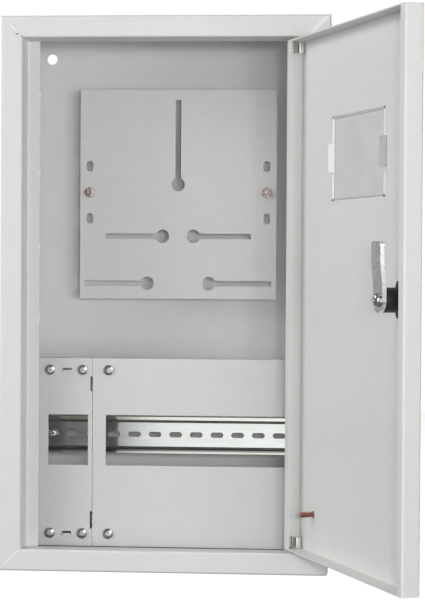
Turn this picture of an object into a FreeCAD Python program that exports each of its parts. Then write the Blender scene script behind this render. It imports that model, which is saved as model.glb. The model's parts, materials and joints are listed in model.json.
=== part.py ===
"""Wall-mounted electric meter box of folded sheet steel with an inset door, shown with the door open.

Millimetres. X runs to the right, Y into the wall, Z up. The origin lies on the back face of the box,
in the middle of its four wall holes. The door's pieces are drawn with the hinge axis as their own
origin and the door shut, and are then turned open about that axis.
"""
import FreeCAD
import Part
import math
import os
import Sketcher

DIMENSIONS = [
    ("box_width", 302.0, "outside width of the case"),
    ("box_height", 510.0, "outside height of the case"),
    ("box_depth", 150.0, "outside depth of the case"),
    ("sheet_gauge", 1.2, "sheet of the case"),
    ("bend_radius", 2.0, "outside radius of the folds"),
    ("ground_corner", 3.0, "lower right corner of the case, ground round"),
    ("stop_fold", 1.6, "inside radius of the fold between the rebate and the stops"),
    ("flange_width", 20.0, "front flange around the door opening"),
    ("rebate_depth", 20.0, "depth of the rebate that takes the door"),
    ("rebate_collar", 3.0, "straight part of the rebate next to the front flange"),
    ("rebate_splay", 1.6, "lean of the left and upper rebate walls"),
    ("stop_width", 13.0, "door stop beside the opening, left and right"),
    ("wall_hole_dia", 10.0, "wall hole"),
    ("wall_hole_across", 254.4, "wall holes, spacing across"),
    ("wall_hole_up", 464.0, "wall holes, spacing up"),
    ("knockout_dia", 28.0, "cable knock-out"),
    ("knockout_pitch", 70.0, "spacing of the knock-outs"),
    ("knockout_setback", 55.0, "knock-out centre from the back face"),
    ("score_width", 0.8, "scored ring of a knock-out"),
    ("score_depth", 0.6, "depth of the scored ring"),
    ("plate_width", 193.0, "meter plate, width"),
    ("plate_height", 204.7, "meter plate, height"),
    ("plate_level", 249.2, "lower edge of the meter plate above the base"),
    ("plate_shift", 1.8, "middle of the meter plate from the middle of the case, to the hinge side"),
    ("plate_setback", 122.0, "front of the meter plate behind the front flange"),
    ("plate_gauge", 1.5, "sheet of the meter plate"),
    ("slot_width", 5.4, "keyhole slot, width"),
    ("keyhole_dia", 13.2, "keyhole, round end"),
    ("upper_slot_margin", 10.2, "upper keyhole: far end below the plate's top edge"),
    ("upper_keyhole", 112.0, "upper keyhole: round end above the plate's lower edge"),
    ("middle_slot_level", 61.4, "middle keyholes above the plate's lower edge"),
    ("middle_keyhole", 15.3, "middle keyholes: round end from the middle"),
    ("middle_slot_margin", 25.1, "middle keyholes: far end from the plate's side"),
    ("lower_slot_level", 15.2, "lower keyholes above the plate's lower edge"),
    ("lower_keyhole", 30.4, "lower keyholes: round end from the middle"),
    ("lower_slot_margin", 4.8, "lower keyholes: far end from the plate's side"),
    ("stud_level", 104.2, "plate studs above the plate's lower edge"),
    ("stud_margin", 9.5, "plate studs from the plate's side"),
    ("oblong_width", 6.3, "oblong hole, width"),
    ("oblong_length", 10.4, "oblong hole, length"),
    ("oblong_pitch", 25.6, "spacing of the oblong holes"),
    ("stud_dia", 5.0, "weld studs"),
    ("stud_reach", 8.5, "plate studs in front of the plate"),
    ("washer_dia", 10.0, "washers, outside"),
    ("washer_gauge", 1.0, "washers, thickness"),
    ("nut_across", 8.0, "nuts, across the flats"),
    ("nut_height", 4.0, "nuts, height"),
    ("thread_clearance", 0.2, "hole over a screw or stud, on the diameter"),
    ("bracket_gauge", 1.5, "sheet of the brackets"),
    ("plate_bracket_width", 18.0, "plate bracket: tab behind the plate"),
    ("plate_bracket_height", 20.0, "plate bracket, height"),
    ("plate_bracket_edge", 8.0, "plate bracket: outer edge beyond the stud"),
    ("cover_setback", 40.0, "front of the covers behind the front flange"),
    ("cover_gauge", 1.2, "sheet of the covers"),
    ("cover_level", 17.8, "lower edge of the covers above the base"),
    ("cover_height", 176.6, "covers, height"),
    ("cover_side_gap", 24.0, "covers from the sides of the case"),
    ("cover_fold", 8.0, "folded edge along the top and bottom of the covers"),
    ("seam_from_left", 80.5, "seam between the covers from the left side"),
    ("seam_gap", 0.5, "gap between the covers"),
    ("window_level", 93.9, "lower edge of the cover windows above the base"),
    ("window_height", 47.5, "cover windows, height"),
    ("left_window_start", 38.8, "left window from the left side"),
    ("left_window_width", 37.6, "left window, width"),
    ("right_window_start", 12.6, "right window from the seam"),
    ("right_window_end", 38.0, "right window from the right side"),
    ("notch_width", 1.9, "edge notch of the left cover, width"),
    ("upper_notch_height", 13.7, "upper edge notch of the left cover, height"),
    ("lower_notch_height", 16.8, "lower edge notch of the left cover, height"),
    ("upper_notch_drop", 16.9, "upper notch below the top edge of the covers"),
    ("lower_notch_rise", 16.0, "lower notch above the lower edge of the covers"),
    ("bridge_start", 52.1, "lanced bridge from the left side"),
    ("bridge_length", 8.6, "lanced bridge, length"),
    ("bridge_width", 3.6, "slot behind a lanced bridge, height"),
    ("strap_width", 1.7, "lanced bridge, height of the strap on the lower side of its slot"),
    ("bridge_rise", 2.2, "lanced bridge in front of the cover"),
    ("screw_dia", 5.0, "cover and rail screws"),
    ("head_dia", 10.6, "screw heads"),
    ("head_height", 3.4, "screw heads, height"),
    ("head_edge", 1.1, "screw heads, height of the rim"),
    ("crown_dia", 6.6, "screw heads, flat crown"),
    ("recess_span", 5.8, "cross recess, span"),
    ("recess_width", 1.3, "cross recess, width"),
    ("recess_depth", 1.9, "cross recess, depth"),
    ("screw_length", 12.0, "screws under the head"),
    ("left_outer_screw", 40.5, "outer screws of the left cover from the left side"),
    ("right_outer_screw", 34.6, "outer screws of the right cover from the right side"),
    ("left_seam_screw", 9.4, "screws of the left cover from the seam"),
    ("right_seam_screw", 15.2, "screws of the right cover from the seam"),
    ("upper_screw_drop", 11.05, "upper cover screws below the top edge"),
    ("lower_screw_rise", 12.0, "lower cover screws above the lower edge"),
    ("bar_height", 13.0, "cover bars, height"),
    ("bar_depth", 16.0, "cover bars, depth"),
    ("bar_edge", 3.4, "cover bars inside the upper and lower edge of the covers"),
    ("wire_hole_margin", 0.8, "hole for the seal wire in a cover bar, around the slot of the bridge"),
    ("rail_setback", 87.0, "front of the rail behind the front flange"),
    ("rail_level", 118.5, "middle of the rail above the base"),
    ("rail_height", 35.0, "rail, height over the lips"),
    ("rail_drop", 7.5, "rail, depth"),
    ("rail_gauge", 1.0, "sheet of the rail"),
    ("rail_inner_bend", 1.3, "rail, inside radius of the bends"),
    ("rail_outer_bend", 2.3, "rail, outside radius of the bends"),
    ("rail_web", 27.0, "rail, height over the webs"),
    ("rail_end_gap", 20.0, "rail ends from the sides of the case"),
    ("rail_slot_length", 12.3, "rail slots, length"),
    ("rail_slot_width", 5.2, "rail slots, width"),
    ("rail_slot_pitch", 20.0, "rail slots, spacing"),
    ("rail_slot_offset", 3.2, "middle slot of the rail from the middle of the case"),
    ("rail_bracket_height", 26.0, "rail brackets, height"),
    ("rail_bracket_width", 20.0, "rail brackets: tab behind the rail"),
    ("rail_bracket_foot", 15.0, "rail brackets: foot on the back wall"),
    ("door_gap", 2.0, "door to the sides of the opening"),
    ("door_gap_up", 3.2, "door to the top and bottom of the opening"),
    ("door_thick", 16.0, "door, depth of its folds"),
    ("door_gauge", 1.2, "sheet of the door"),
    ("door_lip", 10.0, "return lips of the door"),
    ("door_angle", 112.5, "door opening angle as shown"),
    ("hinge_inset", 8.2, "hinge axis from the side of the opening"),
    ("hinge_setback", 5.5, "hinge axis behind the front flange"),
    ("pin_dia", 5.0, "hinge pins"),
    ("pin_clearance", 0.1, "running fit of the hinge pins, on the diameter"),
    ("pin_overrun", 1.5, "hinge pins beyond the case sheet"),
    ("barrel_dia", 8.4, "hinge barrels, outside"),
    ("barrel_length", 10.5, "hinge barrels, length"),
    ("leaf_gauge", 1.8, "hinge leaf on the folded edge of the door, thickness"),
    ("leaf_reach", 5.0, "hinge leaf from the hinge axis, away from the door sheet"),
    ("pane_width", 112.0, "door window, width"),
    ("pane_height", 73.3, "door window, height"),
    ("pane_level", 375.8, "middle of the door window above the base"),
    ("pane_shift", 3.0, "middle of the door window from the middle of the door, to the lock side"),
    ("pane_clearance", 0.6, "door window in its cut-out, over both sides"),
    ("pane_rim", 3.0, "door window: outside rim"),
    ("pane_rim_gauge", 1.0, "door window: rim thickness"),
    ("pane_gauge", 2.0, "door window: thickness within the cut-out"),
    ("clip_height", 25.0, "snap clips, height"),
    ("clip_gauge", 1.6, "snap clips, thickness"),
    ("clip_reach", 5.0, "snap clips behind the door sheet"),
    ("clip_hook", 3.0, "snap clips: hook over the door sheet"),
    ("clip_play", 0.2, "snap clips: play under the hook"),
    ("lock_inset", 27.0, "lock axis from the free edge of the door"),
    ("lock_level", 255.2, "lock axis above the base"),
    ("lock_dia", 20.0, "lock housing"),
    ("lock_hole_clearance", 0.4, "door hole over the lock housing"),
    ("lock_flange_dia", 26.0, "lock housing: outside flange"),
    ("lock_flange", 4.0, "lock housing: flange thickness"),
    ("lock_nut_across", 29.5, "lock nut, across the flats"),
    ("lock_nut_height", 5.0, "lock nut, height"),
    ("rotor_dia", 12.0, "lock core"),
    ("rotor_head_dia", 16.0, "lock core: outside head"),
    ("rotor_head", 2.0, "lock core: head thickness"),
    ("rotor_clearance", 0.6, "lock core in its housing, on the diameter"),
    ("key_slot_width", 2.2, "key slot, width"),
    ("key_slot_length", 10.0, "key slot, length"),
    ("square_across", 7.0, "square drive of the cam"),
    ("square_clearance", 0.2, "cam over the square drive"),
    ("cam_clearance", 1.4, "cam behind the door stop"),
    ("cam_washer_dia", 11.6, "washer on the cam, outside"),
    ("cam_gauge", 3.4, "cam, thickness"),
    ("cam_width", 18.0, "cam, width"),
    ("cam_hole_dia", 1.8, "small hole in the cam"),
    ("cam_hole_rise", 12.5, "small hole in the cam above the lock axis"),
    ("cam_heel", 10.0, "cam behind the lock axis"),
    ("cam_length", 46.4, "cam, lock axis to tip"),
    ("cam_crank_start", 9.0, "cam: start of the crank"),
    ("cam_crank_run", 22.0, "cam: length of the crank"),
    ("cam_crank", 2.0, "cam: set of the tip away from the door"),
    ("earth_stud_inset", 35.0, "earth stud from the hinge edge of the door"),
    ("earth_stud_rise", 35.6, "earth stud above the lower edge of the door"),
    ("earth_stud_length", 12.6, "earth stud, length"),
    ("stud_chamfer", 0.6, "chamfer at the end of the studs"),
]

doc = FreeCAD.newDocument("meter_box")
sheet = doc.addObject("Spreadsheet::Sheet", "dims")
for row, (alias, value, meaning) in enumerate(DIMENSIONS, start=1):
    sheet.set("A%d" % row, meaning)
    sheet.set("B%d" % row, str(value))
    sheet.setAlias("B%d" % row, alias)
doc.recompute()

# Places in the case that several pieces share, as expressions of the sheet
LEFT = "(-dims.box_width / 2)"
RIGHT = "(dims.box_width / 2)"
BASE = "(-dims.box_height / 2)"
TOP = "(dims.box_height / 2)"
FRONT = "(-dims.box_depth)"
BACK_INSIDE = "(-dims.sheet_gauge)"
OPEN_LEFT = "(dims.flange_width - dims.box_width / 2)"
OPEN_RIGHT = "(dims.box_width / 2 - dims.flange_width)"
OPEN_BASE = "(dims.flange_width - dims.box_height / 2)"
OPEN_TOP = "(dims.box_height / 2 - dims.flange_width)"
AXIS_X = "(dims.box_width / 2 - dims.flange_width - dims.hinge_inset)"
AXIS_Y = "(dims.hinge_setback - dims.box_depth)"
SEAM = "(dims.seam_from_left - dims.box_width / 2)"
COVER_FRONT = "(dims.cover_setback - dims.box_depth)"
COVER_BACK = "(dims.cover_setback + dims.cover_gauge - dims.box_depth)"
COVER_BASE = "(dims.cover_level - dims.box_height / 2)"
COVER_TOP = "(dims.cover_level + dims.cover_height - dims.box_height / 2)"
UPPER_SCREW = "(%s - dims.upper_screw_drop)" % COVER_TOP
LOWER_SCREW = "(%s + dims.lower_screw_rise)" % COVER_BASE
WINDOW_BASE = "(dims.window_level - dims.box_height / 2)"
WINDOW_TOP = "(dims.window_level + dims.window_height - dims.box_height / 2)"
RAIL_FRONT = "(dims.rail_setback - dims.box_depth)"
RAIL_BACK = "(dims.rail_setback + dims.rail_drop - dims.box_depth)"
RAIL_MIDDLE = "(dims.rail_level - dims.box_height / 2)"
RAIL_HALF = "(dims.box_width / 2 - dims.rail_end_gap)"
RAIL_PAIRS = "floor((%s - dims.rail_slot_offset - dims.rail_slot_length / 2) / dims.rail_slot_pitch)" % RAIL_HALF
RAIL_SCREW = "(dims.rail_slot_pitch * %s)" % RAIL_PAIRS
PLATE_FRONT = "(dims.plate_setback - dims.box_depth)"
PLATE_BACK = "(dims.plate_setback + dims.plate_gauge - dims.box_depth)"
PLATE_BASE = "(dims.plate_level - dims.box_height / 2)"
PLATE_TOP = "(dims.plate_level + dims.plate_height - dims.box_height / 2)"
PLATE_LEFT = "(dims.plate_shift - dims.plate_width / 2)"
PLATE_RIGHT = "(dims.plate_shift + dims.plate_width / 2)"
STUD_LEVEL = "(%s + dims.stud_level)" % PLATE_BASE

# Places in the door, measured from the hinge axis with the door shut
HINGE_EDGE = "(dims.hinge_inset - dims.door_gap)"
FREE_EDGE = "(2 * dims.flange_width + dims.hinge_inset + dims.door_gap - dims.box_width)"
DOOR_BASE = "(%s + dims.door_gap_up)" % OPEN_BASE
DOOR_TOP = "(%s - dims.door_gap_up)" % OPEN_TOP
SKIN_OUTSIDE = "(-dims.hinge_setback)"
SKIN_INSIDE = "(dims.door_gauge - dims.hinge_setback)"
LIP_FRONT = "(dims.door_thick - dims.door_gauge - dims.hinge_setback)"
PANE_MIDDLE = "((%s + %s) / 2 - dims.pane_shift)" % (HINGE_EDGE, FREE_EDGE)
PANE_LEVEL = "(dims.pane_level - dims.box_height / 2)"
LOCK_X = "(%s + dims.lock_inset)" % FREE_EDGE
LOCK_LEVEL = "(dims.lock_level - dims.box_height / 2)"
CAM_FRONT = "(dims.rebate_depth + dims.sheet_gauge + dims.cam_clearance - dims.hinge_setback)"
CAM_BACK = "(%s + dims.cam_gauge)" % CAM_FRONT

SOUTH_TO_NORTH = FreeCAD.Rotation(FreeCAD.Vector(1, 0, 0), -90)
UPRIGHT = FreeCAD.Rotation()
finished = []


def number(expression):
    """The present value of an expression of the sheet."""
    return float(sheet.evalExpression(expression))


def bind(thing, **sizes):
    """Tie properties of an object to expressions of the sheet."""
    for name, expression in sizes.items():
        thing.setExpression(name, expression)


def place(thing, x="0", y="0", z="0", rotation=UPRIGHT):
    """Set an object at expressions of the sheet."""
    thing.Placement = FreeCAD.Placement(FreeCAD.Vector(number(x), number(y), number(z)), rotation)
    for axis, expression in (("x", x), ("y", y), ("z", z)):
        thing.setExpression("Placement.Base." + axis, expression)


def finish(thing, label, on_door=False):
    """Name a finished piece, and hang a door piece on the hinge axis at the opening angle."""
    thing.Label = label
    if on_door:
        opened = FreeCAD.Rotation(FreeCAD.Vector(0, 0, 1), number("dims.door_angle"))
        place(thing, AXIS_X, AXIS_Y, "0", opened)
        thing.setExpression("Placement.Rotation.Angle", "dims.door_angle")
    finished.append(thing)
    return thing


def new_body(name):
    return doc.addObject("PartDesign::Body", name)


def new_sketch(body, name, plane, offset):
    """A sketch on one of the body's own planes, moved along that plane's normal."""
    sketch = body.newObject("Sketcher::SketchObject", name)
    origin_plane = [item for item in body.Origin.OriginFeatures if item.Role == plane][0]
    sketch.AttachmentSupport = [(origin_plane, "")]
    sketch.MapMode = "FlatFace"
    sketch.setExpression("AttachmentOffset.Base.z", offset)
    return sketch


def front_sketch(body, name, y):
    """A sketch seen from the front, X to the right and Z up, lying at the given Y."""
    return new_sketch(body, name, "XZ_Plane", "-(%s)" % y)


def plan_sketch(body, name, z):
    """A sketch seen from above, X to the right and Y up, lying at the given Z."""
    return new_sketch(body, name, "XY_Plane", z)


def side_sketch(body, name, x):
    """A sketch seen from the right, Y to the right and Z up, lying at the given X."""
    return new_sketch(body, name, "YZ_Plane", x)


def pin_point(sketch, geometry, point, spot):
    """Hold a sketch point at a pair of expressions."""
    for kind, expression in zip(("DistanceX", "DistanceY"), spot):
        held = Sketcher.Constraint(kind, -1, 1, geometry, point, number(expression))
        sketch.setExpression("Constraints[%d]" % sketch.addConstraint(held), expression)


def outline(sketch, corners):
    """A closed outline with straight sides between the given corners."""
    points = [FreeCAD.Vector(number(x), number(y), 0) for x, y in corners]
    first = sketch.GeometryCount
    count = len(points)
    for index in range(count):
        side = Part.LineSegment(points[index], points[(index + 1) % count])
        sketch.addGeometry(side, False)
    for index in range(count):
        following = first + (index + 1) % count
        sketch.addConstraint(Sketcher.Constraint("Coincident", first + index, 2, following, 1))
    for index in range(count):
        pin_point(sketch, first + index, 1, corners[index])


def rectangle(sketch, left, right, low, high):
    outline(sketch, [(left, low), (right, low), (right, high), (left, high)])


def circle(sketch, x, y, diameter):
    centre = FreeCAD.Vector(number(x), number(y), 0)
    ring = Part.Circle(centre, FreeCAD.Vector(0, 0, 1), number(diameter) / 2)
    geometry = sketch.addGeometry(ring, False)
    pin_point(sketch, geometry, 3, (x, y))
    size = sketch.addConstraint(Sketcher.Constraint("Diameter", geometry, number(diameter)))
    sketch.setExpression("Constraints[%d]" % size, diameter)


def slot(sketch, start, end, width):
    """A slot with round ends about two points."""
    first = FreeCAD.Vector(number(start[0]), number(start[1]), 0)
    last = FreeCAD.Vector(number(end[0]), number(end[1]), 0)
    radius = number(width) / 2
    heading = math.atan2(last.y - first.y, last.x - first.x)
    side = FreeCAD.Vector(-math.sin(heading), math.cos(heading), 0) * radius
    normal = FreeCAD.Vector(0, 0, 1)
    quarter = math.pi / 2
    near_arc = Part.ArcOfCircle(
        Part.Circle(first, normal, radius), heading + quarter, heading + 3 * quarter)
    far_arc = Part.ArcOfCircle(Part.Circle(last, normal, radius), heading - quarter, heading + quarter)
    near = sketch.addGeometry(near_arc, False)
    low = sketch.addGeometry(Part.LineSegment(first - side, last - side), False)
    far = sketch.addGeometry(far_arc, False)
    high = sketch.addGeometry(Part.LineSegment(last + side, first + side), False)
    for one, other in ((near, low), (low, far), (far, high), (high, near)):
        sketch.addConstraint(Sketcher.Constraint("Tangent", one, 2, other, 1))
    pin_point(sketch, near, 3, start)
    pin_point(sketch, far, 3, end)
    size = sketch.addConstraint(Sketcher.Constraint("Diameter", near, number(width)))
    sketch.setExpression("Constraints[%d]" % size, width)


def pad(body, sketch, length, reverse=False):
    feature = body.newObject("PartDesign::Pad", sketch.Name + "_pad")
    feature.Profile = sketch
    feature.Reversed = reverse
    bind(feature, Length=length)
    body.Tip = feature
    return feature


def pocket(body, sketch, length, reverse=False):
    """Cut a sketch into the body, and make sure that it took something away."""
    doc.recompute()
    before = body.Shape.Volume
    feature = body.newObject("PartDesign::Pocket", sketch.Name + "_cut")
    feature.Profile = sketch
    feature.Reversed = reverse
    bind(feature, Length=length)
    body.Tip = feature
    doc.recompute()
    if body.Shape.Volume > before - 0.01:
        raise RuntimeError(sketch.Name + " cuts nothing")
    return feature


def round_edges(body, name, radius, wanted, kind="Part::GeomLine"):
    """Fillet the edges of one kind, or of any, that a test picks by their middle point and direction."""
    doc.recompute()
    base = body.Tip
    names = []
    for index, edge in enumerate(base.Shape.Edges, start=1):
        if kind and edge.Curve.TypeId != kind:
            continue
        run = edge.Vertexes[-1].Point - edge.Vertexes[0].Point
        if wanted(edge.CenterOfMass, run):
            names.append("Edge%d" % index)
    if not names:
        raise RuntimeError(name + " finds no edge")
    feature = body.newObject("PartDesign::Fillet", name)
    feature.Base = (base, names)
    bind(feature, Radius=radius)
    body.Tip = feature
    doc.recompute()
    return feature


def near(value, expression):
    return abs(value - number(expression)) < 0.01


def cylinder(name, diameter, length, x="0", y="0", z="0", rotation=SOUTH_TO_NORTH):
    """A round bar, along +Y unless it is told otherwise."""
    bar = doc.addObject("Part::Cylinder", name)
    bind(bar, Radius="(%s) / 2" % diameter, Height=length)
    place(bar, x, y, z, rotation)
    return bar


def hexagon(name, across, length, x="0", y="0", z="0"):
    """A hexagonal bar along +Y."""
    bar = doc.addObject("Part::Prism", name)
    bar.Polygon = 6
    bind(bar, Circumradius="(%s) / sqrt(3)" % across, Height=length)
    place(bar, x, y, z, SOUTH_TO_NORTH)
    return bar


def block(name, x, y, z, width, depth, height):
    """A plain bar from its lowest corner."""
    bar = doc.addObject("Part::Box", name)
    bind(bar, Length=width, Width=depth, Height=height)
    place(bar, x, y, z)
    return bar


def join(name, pieces):
    union = doc.addObject("Part::MultiFuse", name)
    union.Shapes = pieces
    return union


def cut(name, base, tool):
    result = doc.addObject("Part::Cut", name)
    result.Base = base
    result.Tool = tool
    return result


def group(name, label, pieces):
    """Several separate solids of one kind in one piece's file."""
    compound = doc.addObject("Part::Compound", name)
    compound.Links = pieces
    return finish(compound, label)


def make_enclosure():
    """The case: folded shell, front flange, door rebate, stops, holes and knock-outs."""
    body = new_body("enclosure")
    shell = front_sketch(body, "case_outside", FRONT)
    rectangle(shell, LEFT, RIGHT, BASE, TOP)
    pad(body, shell, "dims.box_depth", reverse=True)

    def is_ground_corner(middle, run):
        return near(middle.x, RIGHT) and near(middle.z, BASE)
    round_edges(body, "ground_corner", "dims.ground_corner", is_ground_corner)
    round_edges(body, "case_folds", "dims.bend_radius", lambda middle, run: near(middle.y, FRONT), None)

    room = front_sketch(body, "case_room", "%s + dims.sheet_gauge" % FRONT)
    rectangle(
        room, LEFT + " + dims.sheet_gauge", RIGHT + " - dims.sheet_gauge",
        BASE + " + dims.sheet_gauge", TOP + " - dims.sheet_gauge")
    pocket(body, room, "dims.box_depth - 2 * dims.sheet_gauge")
    opening = front_sketch(body, "door_opening", FRONT)
    rectangle(opening, OPEN_LEFT, OPEN_RIGHT, OPEN_BASE, OPEN_TOP)
    pocket(body, opening, "dims.sheet_gauge")

    rebate = front_sketch(body, "door_rebate", FRONT + " + dims.sheet_gauge / 2")
    rectangle(rebate, OPEN_LEFT, OPEN_RIGHT, OPEN_BASE, OPEN_TOP)
    rectangle(
        rebate, OPEN_LEFT + " - dims.sheet_gauge", OPEN_RIGHT + " + dims.sheet_gauge",
        OPEN_BASE + " - dims.sheet_gauge", OPEN_TOP + " + dims.sheet_gauge")
    pad(body, rebate, "dims.rebate_collar - dims.sheet_gauge / 2", reverse=True)
    add_rebate_walls(body)
    stops = front_sketch(body, "door_stops", FRONT + " + dims.rebate_depth")
    for outer, inner in (
            (OPEN_LEFT + " - dims.sheet_gauge", OPEN_LEFT + " + dims.stop_width"),
            (OPEN_RIGHT + " - dims.stop_width", OPEN_RIGHT + " + dims.sheet_gauge")):
        rectangle(
            stops, outer, inner, OPEN_BASE + " - dims.sheet_gauge", OPEN_TOP + " + dims.sheet_gauge")
    pad(body, stops, "dims.sheet_gauge", reverse=True)

    def is_opening_edge(middle, run):
        on_side = near(abs(middle.x), OPEN_RIGHT) or near(abs(middle.z), OPEN_TOP)
        return near(middle.y, FRONT) and on_side
    round_edges(body, "opening_folds", "dims.bend_radius", is_opening_edge)

    def is_stop_corner(middle, run):
        on_side = near(middle.x, OPEN_LEFT + " + dims.rebate_splay") or near(middle.x, OPEN_RIGHT)
        return on_side and near(middle.y, FRONT + " + dims.rebate_depth")
    round_edges(body, "stop_folds", "dims.stop_fold", is_stop_corner)

    holes = front_sketch(body, "wall_holes", BACK_INSIDE)
    for x in ("-dims.wall_hole_across / 2", "dims.wall_hole_across / 2"):
        for z in ("-dims.wall_hole_up / 2", "dims.wall_hole_up / 2"):
            circle(holes, x, z, "dims.wall_hole_dia")
    pocket(body, holes, "dims.sheet_gauge")

    for name, z, reverse in (
            ("upper_pin_hole", OPEN_TOP + " - dims.rebate_splay", True),
            ("lower_pin_hole", OPEN_BASE, False)):
        pin_hole = plan_sketch(body, name, z)
        circle(pin_hole, AXIS_X, AXIS_Y, "dims.pin_dia + dims.pin_clearance")
        pocket(body, pin_hole, "dims.sheet_gauge + dims.rebate_splay", reverse)
    for name, z, reverse in (("upper_knockouts", TOP, False), ("lower_knockouts", BASE, True)):
        rings = plan_sketch(body, name, z)
        for x in ("-dims.knockout_pitch / 2", "dims.knockout_pitch / 2"):
            circle(rings, x, "-dims.knockout_setback", "dims.knockout_dia")
            circle(rings, x, "-dims.knockout_setback", "dims.knockout_dia + 2 * dims.score_width")
        pocket(body, rings, "dims.score_depth", reverse)
    finish(body, "enclosure_body")


def add_rebate_walls(body):
    """The rebate's four walls behind its straight collar, the left and the upper one leaning inward."""
    gauge = "dims.sheet_gauge"
    collar = FRONT + " + dims.rebate_collar"
    end = FRONT + " + dims.rebate_depth"
    sides = plan_sketch(body, "rebate_sides", OPEN_BASE + " - " + gauge)
    outline(sides, [
        (OPEN_LEFT, collar),
        (OPEN_LEFT + " + dims.rebate_splay", end),
        (OPEN_LEFT + " + dims.rebate_splay - " + gauge, end),
        (OPEN_LEFT + " - " + gauge, collar)])
    rectangle(sides, OPEN_RIGHT, OPEN_RIGHT + " + " + gauge, collar, end)
    pad(body, sides, "%s - %s + 2 * %s" % (OPEN_TOP, OPEN_BASE, gauge))
    levels = side_sketch(body, "rebate_levels", OPEN_LEFT + " - " + gauge)
    outline(levels, [
        (collar, OPEN_TOP),
        (end, OPEN_TOP + " - dims.rebate_splay"),
        (end, OPEN_TOP + " - dims.rebate_splay + " + gauge),
        (collar, OPEN_TOP + " + " + gauge)])
    rectangle(levels, collar, end, OPEN_BASE + " - " + gauge, OPEN_BASE)
    pad(body, levels, "%s - %s + 2 * %s" % (OPEN_RIGHT, OPEN_LEFT, gauge))


def stud_x(side):
    """The place of a plate stud across the case, with side -1 for the left one and 1 for the right one."""
    return "(dims.plate_shift + %s * (dims.plate_width / 2 - dims.stud_margin))" % side


def make_meter_plate():
    """The plate that takes any meter: keyhole slots and rows of oblong holes."""
    body = new_body("plate")
    face = front_sketch(body, "plate_face", PLATE_FRONT)
    rectangle(face, PLATE_LEFT, PLATE_RIGHT, PLATE_BASE, PLATE_TOP)
    pad(body, face, "dims.plate_gauge", reverse=True)

    upper = PLATE_BASE + " + dims.upper_keyhole"
    middle = PLATE_BASE + " + dims.middle_slot_level"
    lower = PLATE_BASE + " + dims.lower_slot_level"
    half_slot = "dims.slot_width / 2"
    slots = front_sketch(body, "keyhole_slots", PLATE_FRONT)
    rectangle(
        slots, "dims.plate_shift - " + half_slot, "dims.plate_shift + " + half_slot,
        upper, PLATE_TOP + " - dims.upper_slot_margin")
    rounds = front_sketch(body, "keyhole_rounds", PLATE_FRONT)
    circle(rounds, "dims.plate_shift", upper, "dims.keyhole_dia")
    for side, edge in (("-1", PLATE_LEFT), ("1", PLATE_RIGHT)):
        for level, row in ((middle, "middle"), (lower, "lower")):
            start = "dims.plate_shift + %s * dims.%s_keyhole" % (side, row)
            end = "%s - %s * dims.%s_slot_margin" % (edge, side, row)
            rectangle(slots, start, end, "%s - %s" % (level, half_slot), "%s + %s" % (level, half_slot))
            circle(rounds, start, level, "dims.keyhole_dia")
    pocket(body, slots, "dims.plate_gauge")
    pocket(body, rounds, "dims.plate_gauge")

    oblongs = front_sketch(body, "oblong_holes", PLATE_FRONT)
    half = "(dims.oblong_length - dims.oblong_width) / 2"
    for side in ("-1", "1"):
        x = stud_x(side)
        for step in ("-1", "0", "1"):
            level = "%s + %s * dims.oblong_pitch" % (STUD_LEVEL, step)
            slot(oblongs, (x, "%s - %s" % (level, half)), (x, "%s + %s" % (level, half)), "dims.oblong_width")
    pocket(body, oblongs, "dims.plate_gauge")
    finish(body, "meter_plate")


def make_plate_brackets():
    """Z-shaped brackets on the back wall, with a tab behind each stud and the foot towards the middle."""
    for label, side in (("plate_bracket_left", "-1"), ("plate_bracket_right", "1")):
        outer = "%s + %s * dims.plate_bracket_edge" % (stud_x(side), side)
        leg = "%s - %s * dims.plate_bracket_width" % (outer, side)
        leg_outside = "%s + %s * dims.bracket_gauge" % (leg, side)
        foot = "%s - %s * dims.plate_bracket_width" % (leg, side)
        body = new_body(label + "_body")
        section = plan_sketch(body, label + "_section", STUD_LEVEL + " - dims.plate_bracket_height / 2")
        outline(section, [
            (outer, PLATE_BACK),
            (leg, PLATE_BACK),
            (leg, BACK_INSIDE + " - dims.bracket_gauge"),
            (foot, BACK_INSIDE + " - dims.bracket_gauge"),
            (foot, BACK_INSIDE),
            (leg_outside, BACK_INSIDE),
            (leg_outside, PLATE_BACK + " + dims.bracket_gauge"),
            (outer, PLATE_BACK + " + dims.bracket_gauge")])
        pad(body, section, "dims.plate_bracket_height")
        finish(body, label)


def stud(name, reach, x, y, z, toward_front):
    """A weld stud with a chamfered end, running from its seat."""
    turn = FreeCAD.Rotation(FreeCAD.Vector(1, 0, 0), 90) if toward_front else SOUTH_TO_NORTH
    sign = "-" if toward_front else "+"
    shank = cylinder(name + "_shank", "dims.stud_dia", "%s - dims.stud_chamfer" % reach, x, y, z, turn)
    tip = doc.addObject("Part::Cone", name + "_tip")
    bind(tip, Radius1="dims.stud_dia / 2", Radius2="dims.stud_dia / 2 - dims.stud_chamfer", Height="dims.stud_chamfer")
    place(tip, x, "%s %s (%s - dims.stud_chamfer)" % (y, sign, reach), z, turn)
    return join(name, [shank, tip])


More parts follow.
